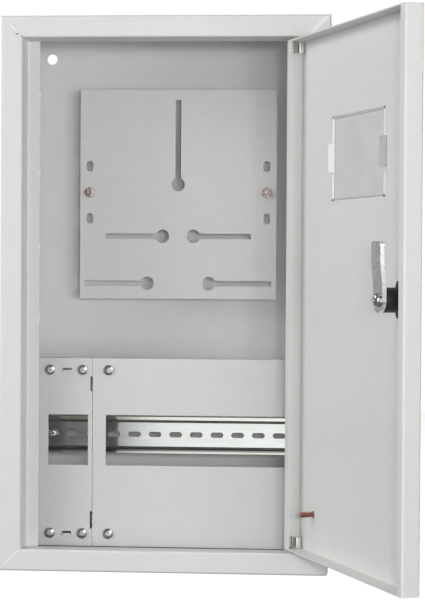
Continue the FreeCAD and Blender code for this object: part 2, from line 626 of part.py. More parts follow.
def make_plate_fixings():
    """Two copper-coated studs, each with a washer and a nut in front of the plate."""
    studs = []
    washers = []
    nuts = []
    hole = "dims.stud_dia + dims.thread_clearance"
    washer_front = PLATE_FRONT + " - dims.washer_gauge"
    nut_front = washer_front + " - dims.nut_height"
    for name, side in (("left", "-1"), ("right", "1")):
        x = stud_x(side)
        reach = "(dims.plate_gauge + dims.stud_reach)"
        studs.append(stud(name + "_plate_stud", reach, x, PLATE_BACK, STUD_LEVEL, True))
        disc = cylinder(name + "_washer_disc", "dims.washer_dia", "dims.washer_gauge", x, washer_front, STUD_LEVEL)
        bore = cylinder(name + "_washer_bore", hole, "dims.washer_gauge", x, washer_front, STUD_LEVEL)
        washers.append(cut(name + "_washer", disc, bore))
        hexa = hexagon(name + "_nut_hexagon", "dims.nut_across", "dims.nut_height", x, nut_front, STUD_LEVEL)
        thread = cylinder(name + "_nut_bore", hole, "dims.nut_height", x, nut_front, STUD_LEVEL)
        nuts.append(cut(name + "_nut", hexa, thread))
    group("plate_stud_pair", "plate_studs", studs)
    group("plate_washer_pair", "plate_washers", washers)
    group("plate_nut_pair", "plate_nuts", nuts)


def make_screw():
    """A pan-head screw with a cross recess: head in front of the origin, shank along +Y."""
    body = new_body("pan_screw")
    profile = plan_sketch(body, "screw_profile", "0")
    outline(profile, [
        ("0", "-dims.head_height"),
        ("dims.crown_dia / 2", "-dims.head_height"),
        ("dims.head_dia / 2", "-dims.head_edge"),
        ("dims.head_dia / 2", "0"),
        ("dims.screw_dia / 2", "0"),
        ("dims.screw_dia / 2", "dims.screw_length"),
        ("0", "dims.screw_length")])
    turned = body.newObject("PartDesign::Revolution", "screw_turned")
    turned.Profile = profile
    turned.ReferenceAxis = (profile, ["V_Axis"])
    turned.Angle = 360
    body.Tip = turned
    recess = front_sketch(body, "screw_recess", "-dims.head_height")
    far = "dims.recess_span / 2"
    close = "dims.recess_width / 2"
    corners = [(far, close), (close, close), (close, far)]
    cross = []
    for turn in range(4):
        cross.extend(corners)
        corners = [("-(%s)" % z, x) for x, z in corners]
    outline(recess, cross)
    pocket(body, recess, "dims.recess_depth")
    return body


def copy_of(original, name, x, y, z, rotation=UPRIGHT):
    """Another piece of the same make, set at its own place."""
    twin = doc.addObject("App::Link", name)
    twin.LinkedObject = original
    place(twin, x, y, z, rotation)
    return twin


def screw_set(label, screw, places):
    """Screws of one kind, each with its head's seat at one of the places."""
    screws = []
    for index, (x, y, z) in enumerate(places, start=1):
        screws.append(copy_of(screw, "%s_%d" % (label, index), x, y, z))
    group(label + "_group", label, screws)


def make_cover(label, left, right, windows, screws):
    """A flat cover with folded top and bottom edges, screw holes and one module window."""
    body = new_body(label + "_body")
    face = front_sketch(body, label + "_face", COVER_FRONT)
    rectangle(face, left, right, COVER_BASE, COVER_TOP)
    pad(body, face, "dims.cover_gauge", reverse=True)
    folds = front_sketch(body, label + "_folds", COVER_BACK)
    rectangle(folds, left, right, COVER_BASE, COVER_BASE + " + dims.cover_gauge")
    rectangle(folds, left, right, COVER_TOP + " - dims.cover_gauge", COVER_TOP)
    pad(body, folds, "dims.cover_fold", reverse=True)
    openings = front_sketch(body, label + "_openings", COVER_FRONT)
    rectangle(openings, windows[0], windows[1], WINDOW_BASE, WINDOW_TOP)
    for x in screws:
        for z in (LOWER_SCREW, UPPER_SCREW):
            circle(openings, x, z, "dims.screw_dia + 2 * dims.thread_clearance")
    pocket(body, openings, "dims.cover_gauge")
    return body


def add_seal_bridges(body):
    """Two lanced bridges that take a seal wire, each pressed out of the cover in front of its slot."""
    start = LEFT + " + dims.bridge_start"
    end = start + " + dims.bridge_length"
    for name, level in (("upper_bridge", UPPER_SCREW), ("lower_bridge", LOWER_SCREW)):
        low = level + " - dims.bridge_width / 2"
        high = level + " + dims.bridge_width / 2"
        lance = front_sketch(body, name + "_slot", COVER_FRONT)
        rectangle(lance, start, end, low, high)
        pocket(body, lance, "dims.cover_gauge")
        strap = plan_sketch(body, name + "_strap", low)
        crest = COVER_FRONT + " - dims.bridge_rise"
        outline(strap, [
            (start + " - dims.cover_gauge", COVER_FRONT),
            (start + " + dims.cover_gauge", crest),
            (end + " - dims.cover_gauge", crest),
            (end + " + dims.cover_gauge", COVER_FRONT),
            (end, COVER_BACK),
            (end + " - 2 * dims.cover_gauge", crest + " + dims.cover_gauge"),
            (start + " + 2 * dims.cover_gauge", crest + " + dims.cover_gauge"),
            (start, COVER_BACK)])
        pad(body, strap, "dims.strap_width")


def make_covers(screw):
    """The sealed cover on the left and the module cover on the right, in one plane."""
    half_gap = "dims.seam_gap / 2"
    cover_left = LEFT + " + dims.cover_side_gap"
    cover_right = RIGHT + " - dims.cover_side_gap"
    left_screws = (LEFT + " + dims.left_outer_screw", SEAM + " - dims.left_seam_screw")
    right_screws = (SEAM + " + dims.right_seam_screw", RIGHT + " - dims.right_outer_screw")
    left_edge = "%s - %s" % (SEAM, half_gap)
    window_start = LEFT + " + dims.left_window_start"

    left = make_cover(
        "left_cover", cover_left, left_edge, (window_start, window_start + " + dims.left_window_width"), left_screws)
    notches = front_sketch(left, "edge_notches", COVER_FRONT)
    upper = COVER_TOP + " - dims.upper_notch_drop"
    lower = COVER_BASE + " + dims.lower_notch_rise"
    notch_left = left_edge + " - dims.notch_width"
    rectangle(notches, notch_left, left_edge, upper + " - dims.upper_notch_height", upper)
    rectangle(notches, notch_left, left_edge, lower, lower + " + dims.lower_notch_height")
    pocket(left, notches, "dims.cover_gauge")
    add_seal_bridges(left)
    finish(left, "left_cover")

    right = make_cover(
        "right_cover", "%s + %s" % (SEAM, half_gap), cover_right,
        (SEAM + " + dims.right_window_start", RIGHT + " - dims.right_window_end"), right_screws)
    finish(right, "right_cover")

    levels = (LOWER_SCREW, UPPER_SCREW)
    screw_set("left_cover_screws", screw, [(x, COVER_FRONT, z) for x in left_screws for z in levels])
    screw_set("right_cover_screws", screw, [(x, COVER_FRONT, z) for x in right_screws for z in levels])
    make_cover_bars(left_screws + right_screws)


def make_cover_bars(screws):
    """Angle bars from side to side behind the covers, with holes for the cover screws and the seal wires."""
    gauge = "dims.bracket_gauge"
    for label, outer, sign, level in (
            ("cover_bar_top", COVER_TOP + " - dims.bar_edge", "-", UPPER_SCREW),
            ("cover_bar_bottom", COVER_BASE + " + dims.bar_edge", "+", LOWER_SCREW)):
        inner = "%s %s dims.bar_height" % (outer, sign)
        body = new_body(label + "_body")
        section = side_sketch(body, label + "_section", LEFT + " + dims.sheet_gauge")
        outline(section, [
            (COVER_BACK, outer),
            (COVER_BACK, inner),
            (COVER_BACK + " + dims.bar_depth", inner),
            (COVER_BACK + " + dims.bar_depth", "%s %s %s" % (inner, "+" if sign == "-" else "-", gauge)),
            (COVER_BACK + " + " + gauge, "%s %s %s" % (inner, "+" if sign == "-" else "-", gauge)),
            (COVER_BACK + " + " + gauge, outer)])
        pad(body, section, "dims.box_width - 2 * dims.sheet_gauge")
        holes = front_sketch(body, label + "_holes", COVER_BACK)
        for x in screws:
            circle(holes, x, level, "dims.screw_dia + dims.thread_clearance")
        start = LEFT + " + dims.bridge_start"
        reach = "(dims.bridge_width / 2 + dims.wire_hole_margin)"
        rectangle(
            holes, start + " - dims.wire_hole_margin", start + " + dims.bridge_length + dims.wire_hole_margin",
            "%s - %s" % (level, reach), "%s + %s" % (level, reach))
        pocket(body, holes, gauge)
        finish(body, label)


def make_rail(screw):
    """The slotted top-hat rail on two brackets."""
    half = "dims.rail_height / 2"
    web = "dims.rail_web / 2"
    gauge = "dims.rail_gauge"
    body = new_body("rail")
    section = side_sketch(body, "rail_section", LEFT + " + dims.rail_end_gap")
    middle = RAIL_MIDDLE
    outline(section, [
        (RAIL_FRONT, "%s + %s" % (middle, half)),
        (RAIL_FRONT, "%s + %s - %s" % (middle, web, gauge)),
        (RAIL_BACK + " - " + gauge, "%s + %s - %s" % (middle, web, gauge)),
        (RAIL_BACK + " - " + gauge, "%s - %s + %s" % (middle, web, gauge)),
        (RAIL_FRONT, "%s - %s + %s" % (middle, web, gauge)),
        (RAIL_FRONT, "%s - %s" % (middle, half)),
        (RAIL_FRONT + " + " + gauge, "%s - %s" % (middle, half)),
        (RAIL_FRONT + " + " + gauge, "%s - %s" % (middle, web)),
        (RAIL_BACK, "%s - %s" % (middle, web)),
        (RAIL_BACK, "%s + %s" % (middle, web)),
        (RAIL_FRONT + " + " + gauge, "%s + %s" % (middle, web)),
        (RAIL_FRONT + " + " + gauge, "%s + %s" % (middle, half))])
    pad(body, section, "dims.box_width - 2 * dims.rail_end_gap")

    def is_bend(y, z):
        """A test for the two edges along the rail at one depth, z above and below the rail's middle."""
        offset = number(middle)
        return lambda centre, run: near(centre.y, y) and near(abs(centre.z - offset), z)
    round_edges(body, "front_outer_bends", "dims.rail_outer_bend", is_bend(RAIL_FRONT, "%s - %s" % (web, gauge)))
    round_edges(body, "front_inner_bends", "dims.rail_inner_bend", is_bend(RAIL_FRONT + " + " + gauge, web))
    round_edges(body, "back_outer_bends", "dims.rail_outer_bend", is_bend(RAIL_BACK, web))
    floor_front = RAIL_BACK + " - " + gauge
    round_edges(body, "back_inner_bends", "dims.rail_inner_bend", is_bend(floor_front, "%s - %s" % (web, gauge)))
    slots = front_sketch(body, "rail_slots", floor_front)
    reach = "(dims.rail_slot_length - dims.rail_slot_width) / 2"
    pairs = int(number(RAIL_PAIRS))
    for step in range(-pairs, pairs + 1):
        x = "dims.rail_slot_offset + %d * dims.rail_slot_pitch" % step
        slot(slots, ("%s - %s" % (x, reach), middle), ("%s + %s" % (x, reach), middle), "dims.rail_slot_width")
    pocket(body, slots, gauge)
    finish(body, "din_rail")

    for label, side in (("rail_bracket_left", "-1"), ("rail_bracket_right", "1")):
        make_rail_bracket(label, side)
    places = [
        ("dims.rail_slot_offset + %s * %s" % (side, RAIL_SCREW), floor_front, middle) for side in ("-1", "1")]
    screw_set("rail_screws", screw, places)


def make_rail_bracket(label, side):
    """A Z-shaped bracket from the back wall to the rail, with its foot towards the side wall."""
    screw_x = "dims.rail_slot_offset + %s * %s" % (side, RAIL_SCREW)
    inner = "%s - %s * dims.rail_bracket_width / 2" % (screw_x, side)
    leg = "%s + %s * dims.rail_bracket_width / 2" % (screw_x, side)
    leg_inside = "%s - %s * dims.bracket_gauge" % (leg, side)
    foot = "%s + %s * dims.rail_bracket_foot" % (leg, side)
    body = new_body(label + "_body")
    section = plan_sketch(body, label + "_section", RAIL_MIDDLE + " - dims.rail_bracket_height / 2")
    outline(section, [
        (inner, RAIL_BACK),
        (leg, RAIL_BACK),
        (leg, BACK_INSIDE + " - dims.bracket_gauge"),
        (foot, BACK_INSIDE + " - dims.bracket_gauge"),
        (foot, BACK_INSIDE),
        (leg_inside, BACK_INSIDE),
        (leg_inside, RAIL_BACK + " + dims.bracket_gauge"),
        (inner, RAIL_BACK + " + dims.bracket_gauge")])
    pad(body, section, "dims.rail_bracket_height")
    hole = front_sketch(body, label + "_hole", RAIL_BACK)
    circle(hole, screw_x, RAIL_MIDDLE, "dims.screw_dia + dims.thread_clearance")
    pocket(body, hole, "dims.bracket_gauge")
    finish(body, label)


def make_door():
    """The door: a folded pan with return lips on the hinge edge and the free edge."""
    body = new_body("door")
    face = front_sketch(body, "door_face", SKIN_OUTSIDE)
    rectangle(face, FREE_EDGE, HINGE_EDGE, DOOR_BASE, DOOR_TOP)
    pad(body, face, "dims.door_thick", reverse=True)
    round_edges(body, "door_folds", "dims.bend_radius", lambda middle, run: near(middle.y, SKIN_OUTSIDE))
    hollow = front_sketch(body, "door_hollow", SKIN_INSIDE)
    rectangle(
        hollow, FREE_EDGE + " + dims.door_gauge", HINGE_EDGE + " - dims.door_gauge",
        DOOR_BASE + " + dims.door_gauge", DOOR_TOP + " - dims.door_gauge")
    pocket(body, hollow, "dims.door_thick - dims.door_gauge")
    lips = front_sketch(body, "door_lips", LIP_FRONT)
    rectangle(lips, FREE_EDGE + " + dims.door_gauge / 2", FREE_EDGE + " + dims.door_lip",
              DOOR_BASE + " + dims.door_gauge / 2", DOOR_TOP + " - dims.door_gauge / 2")
    rectangle(lips, HINGE_EDGE + " - dims.door_lip", HINGE_EDGE + " - dims.door_gauge / 2",
              DOOR_BASE + " + dims.door_gauge / 2", DOOR_TOP + " - dims.door_gauge / 2")
    pad(body, lips, "dims.door_gauge", reverse=True)

    inner_face = "dims.door_thick - dims.hinge_setback"

    def is_lip_fold(middle, run):
        outer = near(middle.x, FREE_EDGE) or near(middle.x, HINGE_EDGE)
        return outer and near(middle.y, inner_face)
    round_edges(body, "lip_folds", "dims.bend_radius", is_lip_fold)

    openings = front_sketch(body, "door_openings", SKIN_OUTSIDE)
    rectangle(
        openings, PANE_MIDDLE + " - dims.pane_width / 2", PANE_MIDDLE + " + dims.pane_width / 2",
        PANE_LEVEL + " - dims.pane_height / 2", PANE_LEVEL + " + dims.pane_height / 2")
    circle(openings, LOCK_X, LOCK_LEVEL, "dims.lock_dia + dims.lock_hole_clearance")
    pocket(body, openings, "dims.door_gauge")
    for name, z, reverse in (
            ("door_upper_pin_hole", DOOR_TOP, False),
            ("door_lower_pin_hole", DOOR_BASE, True)):
        hole = plan_sketch(body, name, z)
        circle(hole, "0", "0", "dims.pin_dia + dims.pin_clearance")
        pocket(body, hole, "dims.door_gauge", reverse)
    finish(body, "door_panel", on_door=True)


def make_hinges():
    """Barrels with a leaf welded into the corners of the door, and pins that reach into the case."""
    pin_size = "dims.pin_dia"
    reach = "dims.barrel_length + dims.door_gauge + dims.door_gap_up + dims.sheet_gauge + dims.pin_overrun"
    for end, barrel_foot, pin_foot in (
            ("top", DOOR_TOP + " - dims.door_gauge - dims.barrel_length",
             DOOR_TOP + " - dims.door_gauge - dims.barrel_length"),
            ("bottom", DOOR_BASE + " + dims.door_gauge",
             OPEN_BASE + " - dims.sheet_gauge - dims.pin_overrun")):
        outside = cylinder(
            "barrel_outside_" + end, "dims.barrel_dia", "dims.barrel_length", z=barrel_foot, rotation=UPRIGHT)
        bore = cylinder(
            "barrel_bore_" + end, pin_size + " + dims.pin_clearance", "dims.barrel_length",
            z=barrel_foot, rotation=UPRIGHT)
        leaf = block(
            "barrel_leaf_" + end, HINGE_EDGE + " - dims.door_gauge - dims.leaf_gauge", "0", barrel_foot,
            "dims.leaf_gauge", "dims.leaf_reach", "dims.barrel_length")
        rolled = join("barrel_rolled_" + end, [outside, leaf])
        finish(cut("barrel_" + end, rolled, bore), "hinge_barrel_" + end, on_door=True)
        body = new_body("pin_" + end)
        section = plan_sketch(body, "pin_section_" + end, pin_foot)
        circle(section, "0", "0", pin_size)
        pad(body, section, reach)
        finish(body, "hinge_pin_" + end, on_door=True)


def make_door_window():
    """The clear pane: an outside rim, a plug in the cut-out and two snap clips behind the sheet."""
    half_width = "(dims.pane_width - dims.pane_clearance) / 2"
    half_height = "(dims.pane_height - dims.pane_clearance) / 2"
    body = new_body("window")
    rim = front_sketch(body, "window_rim", SKIN_OUTSIDE + " - dims.pane_rim_gauge")
    rectangle(
        rim, "%s - %s - dims.pane_rim" % (PANE_MIDDLE, half_width), "%s + %s + dims.pane_rim" % (PANE_MIDDLE, half_width),
        "%s - %s - dims.pane_rim" % (PANE_LEVEL, half_height), "%s + %s + dims.pane_rim" % (PANE_LEVEL, half_height))
    pad(body, rim, "dims.pane_rim_gauge", reverse=True)
    plug = front_sketch(body, "window_plug", SKIN_OUTSIDE)
    rectangle(
        plug, "%s - %s" % (PANE_MIDDLE, half_width), "%s + %s" % (PANE_MIDDLE, half_width),
        "%s - %s" % (PANE_LEVEL, half_height), "%s + %s" % (PANE_LEVEL, half_height))
    pad(body, plug, "dims.pane_gauge", reverse=True)

    root = SKIN_OUTSIDE + " + dims.pane_gauge / 2"
    under_hook = SKIN_INSIDE + " + dims.clip_play"
    crest = SKIN_INSIDE + " + dims.clip_reach"
    for name, sign, back in (("hinge_clip", "+", "-"), ("lock_clip", "-", "+")):
        edge = "%s %s %s" % (PANE_MIDDLE, sign, half_width)
        inside = "%s %s dims.clip_gauge" % (edge, back)
        clip = plan_sketch(body, name, PANE_LEVEL + " - dims.clip_height / 2")
        outline(clip, [
            (inside, root),
            (inside, crest),
            (edge, crest),
            ("%s %s dims.clip_hook" % (edge, sign), under_hook + " + dims.clip_gauge / 2"),
            ("%s %s dims.clip_hook" % (edge, sign), under_hook),
            (edge, under_hook),
            (edge, root)])
        pad(body, clip, "dims.clip_height")
    finish(body, "door_window", on_door=True)


def make_lock(screw):
    """A cam lock: housing and nut in the door, and a core that turns the cranked cam."""
    flange_front = SKIN_OUTSIDE + " - dims.lock_flange"
    housing_end = CAM_FRONT + " - dims.cam_clearance / 2"
    flange = cylinder("lock_flange_disc", "dims.lock_flange_dia", "dims.lock_flange", LOCK_X, flange_front, LOCK_LEVEL)
    barrel = cylinder(
        "lock_barrel", "dims.lock_dia", "%s - (%s)" % (housing_end, SKIN_OUTSIDE), LOCK_X, SKIN_OUTSIDE, LOCK_LEVEL)
    bore = cylinder(
        "lock_bore", "dims.rotor_dia + dims.rotor_clearance", "%s - (%s)" % (housing_end, flange_front),
        LOCK_X, flange_front, LOCK_LEVEL)
    seat = cylinder(
        "lock_seat", "dims.rotor_head_dia + dims.rotor_clearance", "dims.rotor_head",
        LOCK_X, flange_front, LOCK_LEVEL)
    housing = cut("lock_housing", join("lock_solid", [flange, barrel]), join("lock_hollow", [bore, seat]))
    finish(housing, "lock_body", on_door=True)

    nut = hexagon("lock_nut_hexagon", "dims.lock_nut_across", "dims.lock_nut_height", LOCK_X, SKIN_INSIDE, LOCK_LEVEL)
    nut_bore = cylinder(
        "lock_nut_bore", "dims.lock_dia + dims.thread_clearance", "dims.lock_nut_height",
        LOCK_X, SKIN_INSIDE, LOCK_LEVEL)
    finish(cut("lock_nut_ring", nut, nut_bore), "lock_nut", on_door=True)

    head = cylinder("rotor_head", "dims.rotor_head_dia", "dims.rotor_head", LOCK_X, flange_front, LOCK_LEVEL)
    core = cylinder(
        "rotor_core", "dims.rotor_dia", "%s - (%s)" % (CAM_FRONT, flange_front), LOCK_X, flange_front, LOCK_LEVEL)
    drive = block(
        "rotor_drive", LOCK_X + " - dims.square_across / 2", CAM_FRONT, LOCK_LEVEL + " - dims.square_across / 2",
        "dims.square_across", "dims.cam_gauge", "dims.square_across")
    key_slot = block(
        "rotor_key_slot", LOCK_X + " - dims.key_slot_width / 2", flange_front,
        LOCK_LEVEL + " - dims.key_slot_length / 2",
        "dims.key_slot_width", "3 * dims.rotor_head", "dims.key_slot_length")
    screw_bore = cylinder(
        "rotor_screw_bore", "dims.screw_dia + dims.thread_clearance", "dims.screw_length",
        LOCK_X, CAM_BACK + " + dims.washer_gauge - dims.screw_length", LOCK_LEVEL)
    rotor = cut(
        "rotor", join("rotor_solid", [head, core, drive]), join("rotor_cuts", [key_slot, screw_bore]))
    finish(rotor, "lock_rotor", on_door=True)
    make_cam()

    disc = cylinder("cam_washer_disc", "dims.cam_washer_dia", "dims.washer_gauge", LOCK_X, CAM_BACK, LOCK_LEVEL)
    hole = cylinder(
        "cam_washer_bore", "dims.screw_dia + dims.thread_clearance", "dims.washer_gauge",
        LOCK_X, CAM_BACK, LOCK_LEVEL)
    finish(cut("cam_washer_ring", disc, hole), "cam_washer", on_door=True)
    about_face = FreeCAD.Rotation(FreeCAD.Vector(0, 0, 1), 180)
    fixing = copy_of(screw, "cam_fixing", LOCK_X, CAM_BACK + " + dims.washer_gauge", LOCK_LEVEL, about_face)
    seated = doc.addObject("Part::Compound", "cam_fixing_seated")
    seated.Links = [fixing]
    finish(seated, "cam_screw", on_door=True)


def make_cam():
    """The tongue: a strip cranked away from the door, round at its heel, with a square hole."""
    body = new_body("cam")
    heel = LOCK_LEVEL + " - dims.cam_heel"
    tip = LOCK_LEVEL + " + dims.cam_length"
    crank = LOCK_LEVEL + " + dims.cam_crank_start"
    crank_end = crank + " + dims.cam_crank_run"
    ease = "dims.cam_gauge * 0.16"
    profile = side_sketch(body, "cam_profile", LOCK_X + " - dims.cam_width / 2")
    outline(profile, [
        (CAM_FRONT, heel),
        (CAM_BACK, heel),
        (CAM_BACK, "%s - %s" % (crank, ease)),
        (CAM_BACK + " + dims.cam_crank", "%s - %s" % (crank_end, ease)),
        (CAM_BACK + " + dims.cam_crank", tip),
        (CAM_FRONT + " + dims.cam_crank", tip),
        (CAM_FRONT + " + dims.cam_crank", "%s + %s" % (crank_end, ease)),
        (CAM_FRONT, "%s + %s" % (crank, ease))])
    pad(body, profile, "dims.cam_width")

    def is_end_corner(middle, run):
        along = abs(run.x) < 0.01 and abs(run.z) < 0.01
        return along and near(middle.z, heel)

    def is_tip_corner(middle, run):
        along = abs(run.x) < 0.01 and abs(run.z) < 0.01
        return along and near(middle.z, tip)
    round_edges(body, "cam_heel_round", "dims.cam_width * 0.49", is_end_corner)
    round_edges(body, "cam_tip_round", "dims.cam_width * 0.2", is_tip_corner)
    hole = front_sketch(body, "cam_square", CAM_FRONT)
    half = "(dims.square_across + dims.square_clearance) / 2"
    rectangle(
        hole, "%s - %s" % (LOCK_X, half), "%s + %s" % (LOCK_X, half),
        "%s - %s" % (LOCK_LEVEL, half), "%s + %s" % (LOCK_LEVEL, half))
    pocket(body, hole, "dims.cam_gauge")
    small_hole = front_sketch(body, "cam_small_hole", CAM_FRONT)
    circle(small_hole, LOCK_X, LOCK_LEVEL + " + dims.cam_hole_rise", "dims.cam_hole_dia")
    pocket(body, small_hole, "dims.cam_gauge + dims.cam_crank")
    finish(body, "lock_cam", on_door=True)


def make_earth_stud():
    """The earth stud welded inside the door near its lower hinge corner."""
    solid = stud(
        "earth_stud", "dims.earth_stud_length", HINGE_EDGE + " - dims.earth_stud_inset", SKIN_INSIDE,
        DOOR_BASE + " + dims.earth_stud_rise", False)
    finish(solid, "door_earth_stud", on_door=True)


def export_parts():
    """Check every object and piece, and write one file for each piece."""
    doc.recompute()
    for thing in doc.Objects:
        if "Invalid" in thing.State or "Error" in thing.State:
            raise RuntimeError("%s is in state %s" % (thing.Name, thing.State))
    os.makedirs("parts", exist_ok=True)
    for thing in finished:
        shape = thing.Shape
        if shape.isNull() or not shape.isValid() or not shape.Solids:
            raise RuntimeError(thing.Label + " has no valid solid")
        shape.exportStep("parts/%s.step" % thing.Label)


make_enclosure()
make_plate_brackets()
make_meter_plate()
make_plate_fixings()
pan_screw = make_screw()
make_rail(pan_screw)
make_covers(pan_screw)
make_door()
make_hinges()
make_door_window()
make_lock(pan_screw)
make_earth_stud()
export_parts()
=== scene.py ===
"""The looks of a wall-mounted sheet-steel meter box: finishes, fasteners, weld seams, light and camera."""
import json
import math
import random

import bmesh
import bpy
from mathutils import Matrix, Vector


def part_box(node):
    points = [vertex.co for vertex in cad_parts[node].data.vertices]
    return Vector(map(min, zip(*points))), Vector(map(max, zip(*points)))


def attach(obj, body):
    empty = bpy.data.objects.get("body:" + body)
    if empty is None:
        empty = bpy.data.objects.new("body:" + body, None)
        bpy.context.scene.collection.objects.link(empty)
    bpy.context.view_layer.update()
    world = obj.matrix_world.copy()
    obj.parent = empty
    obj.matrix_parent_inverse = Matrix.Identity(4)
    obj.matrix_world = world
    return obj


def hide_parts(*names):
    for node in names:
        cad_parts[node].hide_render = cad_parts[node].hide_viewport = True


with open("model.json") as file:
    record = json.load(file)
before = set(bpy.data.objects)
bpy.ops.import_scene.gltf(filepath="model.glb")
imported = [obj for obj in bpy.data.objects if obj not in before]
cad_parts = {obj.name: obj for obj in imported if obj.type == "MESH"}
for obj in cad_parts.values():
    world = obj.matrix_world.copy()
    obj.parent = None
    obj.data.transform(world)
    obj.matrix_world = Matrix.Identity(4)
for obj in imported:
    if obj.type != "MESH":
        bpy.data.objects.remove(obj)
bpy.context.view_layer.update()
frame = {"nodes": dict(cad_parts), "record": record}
nodes = frame["nodes"]
joints = {joint["name"]: joint for joint in frame["record"]["behaviour"]["joints"]}

MM = 0.001
WHITE = (1.0, 1.0, 1.0, 1.0)
TURN = 2.0 * math.pi
SAME_POINT = 0.000001
SMOOTH_ANGLE = math.radians(35)

# The camera that took the photograph: place in metres, angles in degrees, focal length for a 36 mm long side
CAMERA_PLACE = (0.15758, -1.77690, 0.02458)
CAMERA_YAW = -3.970
CAMERA_PITCH = -1.018
CAMERA_ROLL = 0.329
CAMERA_LENS = 107.393
SENSOR = 36.0

# Places and directions read from the frame, in metres
CASE_LOW, CASE_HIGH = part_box("enclosure_body")
FRONT = Vector((0.0, -1.0, 0.0))
DOOR_INWARD = -Vector(joints["lock_turn"]["axis"])
DOOR_ANGLE = math.radians(-joints["door_hinge"]["range_deg"][0])
DOOR_FRAME = Matrix.Translation(joints["door_hinge"]["pos_m"]) @ Matrix.Rotation(DOOR_ANGLE, 4, "Z")

# The floor's level and its corners on the ground, and how bright the room is to the box and to the camera
FLOOR_LEVEL = CASE_LOW.z - 0.145
FLOOR_LOW = Vector((-2.6, -1.0))
FLOOR_HIGH = Vector((2.6, 3.6))
ROOM_LEVEL = 0.12
BACKDROP_LEVEL = 1.05

# Screw sizes, which follow the solids
HEAD_HEIGHT = 3.4 * MM
HEAD_RIM = 0.8 * MM
HEAD_CHAMFER = 0.15 * MM
SCREW_DIA = 5.0 * MM
SCREW_PITCH = 0.8 * MM
SCREW_TIP = 0.8 * MM
THREAD_DEPTH = 0.45 * MM
RINGS_PER_PITCH = 6

# Shares of a screw head: its seat's radius, how full the dome is, and the recess at its foot and its mouth
HEAD_SEAT = 0.97
DOME_FULLNESS = 0.85
DOME_STEPS = 9
RECESS_FOOT_SPAN, RECESS_FOOT_WIDTH = 0.45, 0.7
RECESS_MOUTH_SPAN, RECESS_MOUTH_WIDTH = 1.05, 1.1

# The cross recess of a screw, how far its cutter stands out, and the most that a driver leaves it turned
RECESS_SPAN = 6.4 * MM
RECESS_WIDTH = 2.0 * MM
RECESS_DEPTH = 2.6 * MM
RECESS_ABOVE = 0.6 * MM
RECESS_TURN = 0.4

# Studs and nuts, which follow the solids: thread tip, weld collar of the earth stud, nut and washer
STUD_TIP = 0.7 * MM
COLLAR_EDGE = 0.5 * MM
COLLAR_HEIGHT = 1.2 * MM
COLLAR_START = 0.2 * MM
NUT_ACROSS = 8.0 * MM
NUT_PLAY = 0.1 * MM
NUT_BEVEL = math.radians(30)
NUT_POINTS = 72
CAM_WASHER_HALF = 0.5 * MM

# Heights on the rail: its flange, and the band of painted dark reflection above the bright lower edge
RAIL_FLANGE = 4.0 * MM
RAIL_PAINTED_REFLECTION_END = 1.3 * MM
RAIL_PAINTED_REFLECTION_TOP = 4.4 * MM

# Sizes of the door window, which follow the solid
PANE_RIM = 3.0 * MM
PANE_RIM_GAUGE = 1.0 * MM
PANE_GAUGE = 2.0 * MM
PANE_EDGE = 0.4 * MM
SHEET = 1.2 * MM
CLIP_HEIGHT = 25.0 * MM
CLIP_GAUGE = 1.6 * MM
CLIP_HOOK = 3.0 * MM
CLIP_PLAY = 0.2 * MM

# Within the window's outline: the set-back inner face, the frosted sides painted light as lit edges, the upper
# bar painted dark as a shadow line, and the corner pegs
PANE_FACE = 0.5 * MM
PANE_SIDE = 1.4 * MM
PANE_TOP = 2.0 * MM
PEG_DIA = 2.6 * MM
PEG_SHOULDER = 0.3 * MM
PEG_HEIGHT = 0.5 * MM
PEG_SINK = 0.2 * MM
PEG_INSET_ACROSS = 0.5 * MM
PEG_INSET_UP = 0.3 * MM
PEG_TIP = 0.6
PEG_POINTS = 20

# Sizes of the case's folded edge, which follow the solid
FLANGE_WIDTH = 20.0 * MM
REBATE_DEPTH = 20.0 * MM
STOP_WIDTH = 13.0 * MM

# How a weld bead runs: steps along it, wave lengths of its ripples and lumps, and how deep it sits
BEAD_STEP = 0.35 * MM
BEAD_RIPPLE = 0.28 * MM
BEAD_SHORT_LUMP = 0.9 * MM
BEAD_LONG_LUMP = 1.7 * MM
BEAD_LUMP_PHASE = 9000.0
BEAD_SINK = 0.05 * MM
BEAD_END = 1.0 * MM
BEAD_LIFT = Vector((0.0, 0.0, 1.0 * MM))

# Mitre beads, in mm: inward direction along X and Z, width, height, and distance from the outer corner
MITRE_BEADS = (
    (1.0, -1.0, 2.4, 0.75, 8.0),
    (-1.0, -1.0, 4.6, 0.55, 3.0),
    (1.0, 1.0, 1.8, 0.18, 3.0),
    (-1.0, 1.0, 2.0, 0.35, 3.0))

# Tacks on the left stop: level in metres and length in mm, then their width, height and overlap of the edge
STOP_TACKS = ((0.181, 5.0), (0.110, 4.5), (0.041, 6.0), (-0.026, 8.0))
TACK_WIDTH = 2.0 * MM
TACK_HEIGHT = 0.40 * MM
TACK_INSET = 0.3 * MM

# Pits by the upper left mitre, drawn as raised dark slivers of painted shade, in mm: place from the corner
# along X and Z, and run along X and Z
WELD_PITS = ((13.2, -17.2, 4.0, 0.8), (18.9, -18.3, 0.6, -1.6))
PIT_WIDTH = 0.9 * MM
PIT_HEIGHT = 0.30 * MM

# Edges rounded by a press tool or a mould
SOFT_EDGES = {
    "lock_cam": 0.5 * MM,
    "hinge_barrel_top": 0.4 * MM,
    "hinge_barrel_bottom": 0.4 * MM,
    "plate_washers": 0.2 * MM,
    "cam_washer": 0.2 * MM,
    "lock_body": 0.5 * MM,
    "lock_nut": 0.5 * MM,
    "lock_rotor": 0.3 * MM,
    "hinge_pin_top": 0.5 * MM,
    "hinge_pin_bottom": 0.5 * MM,
}


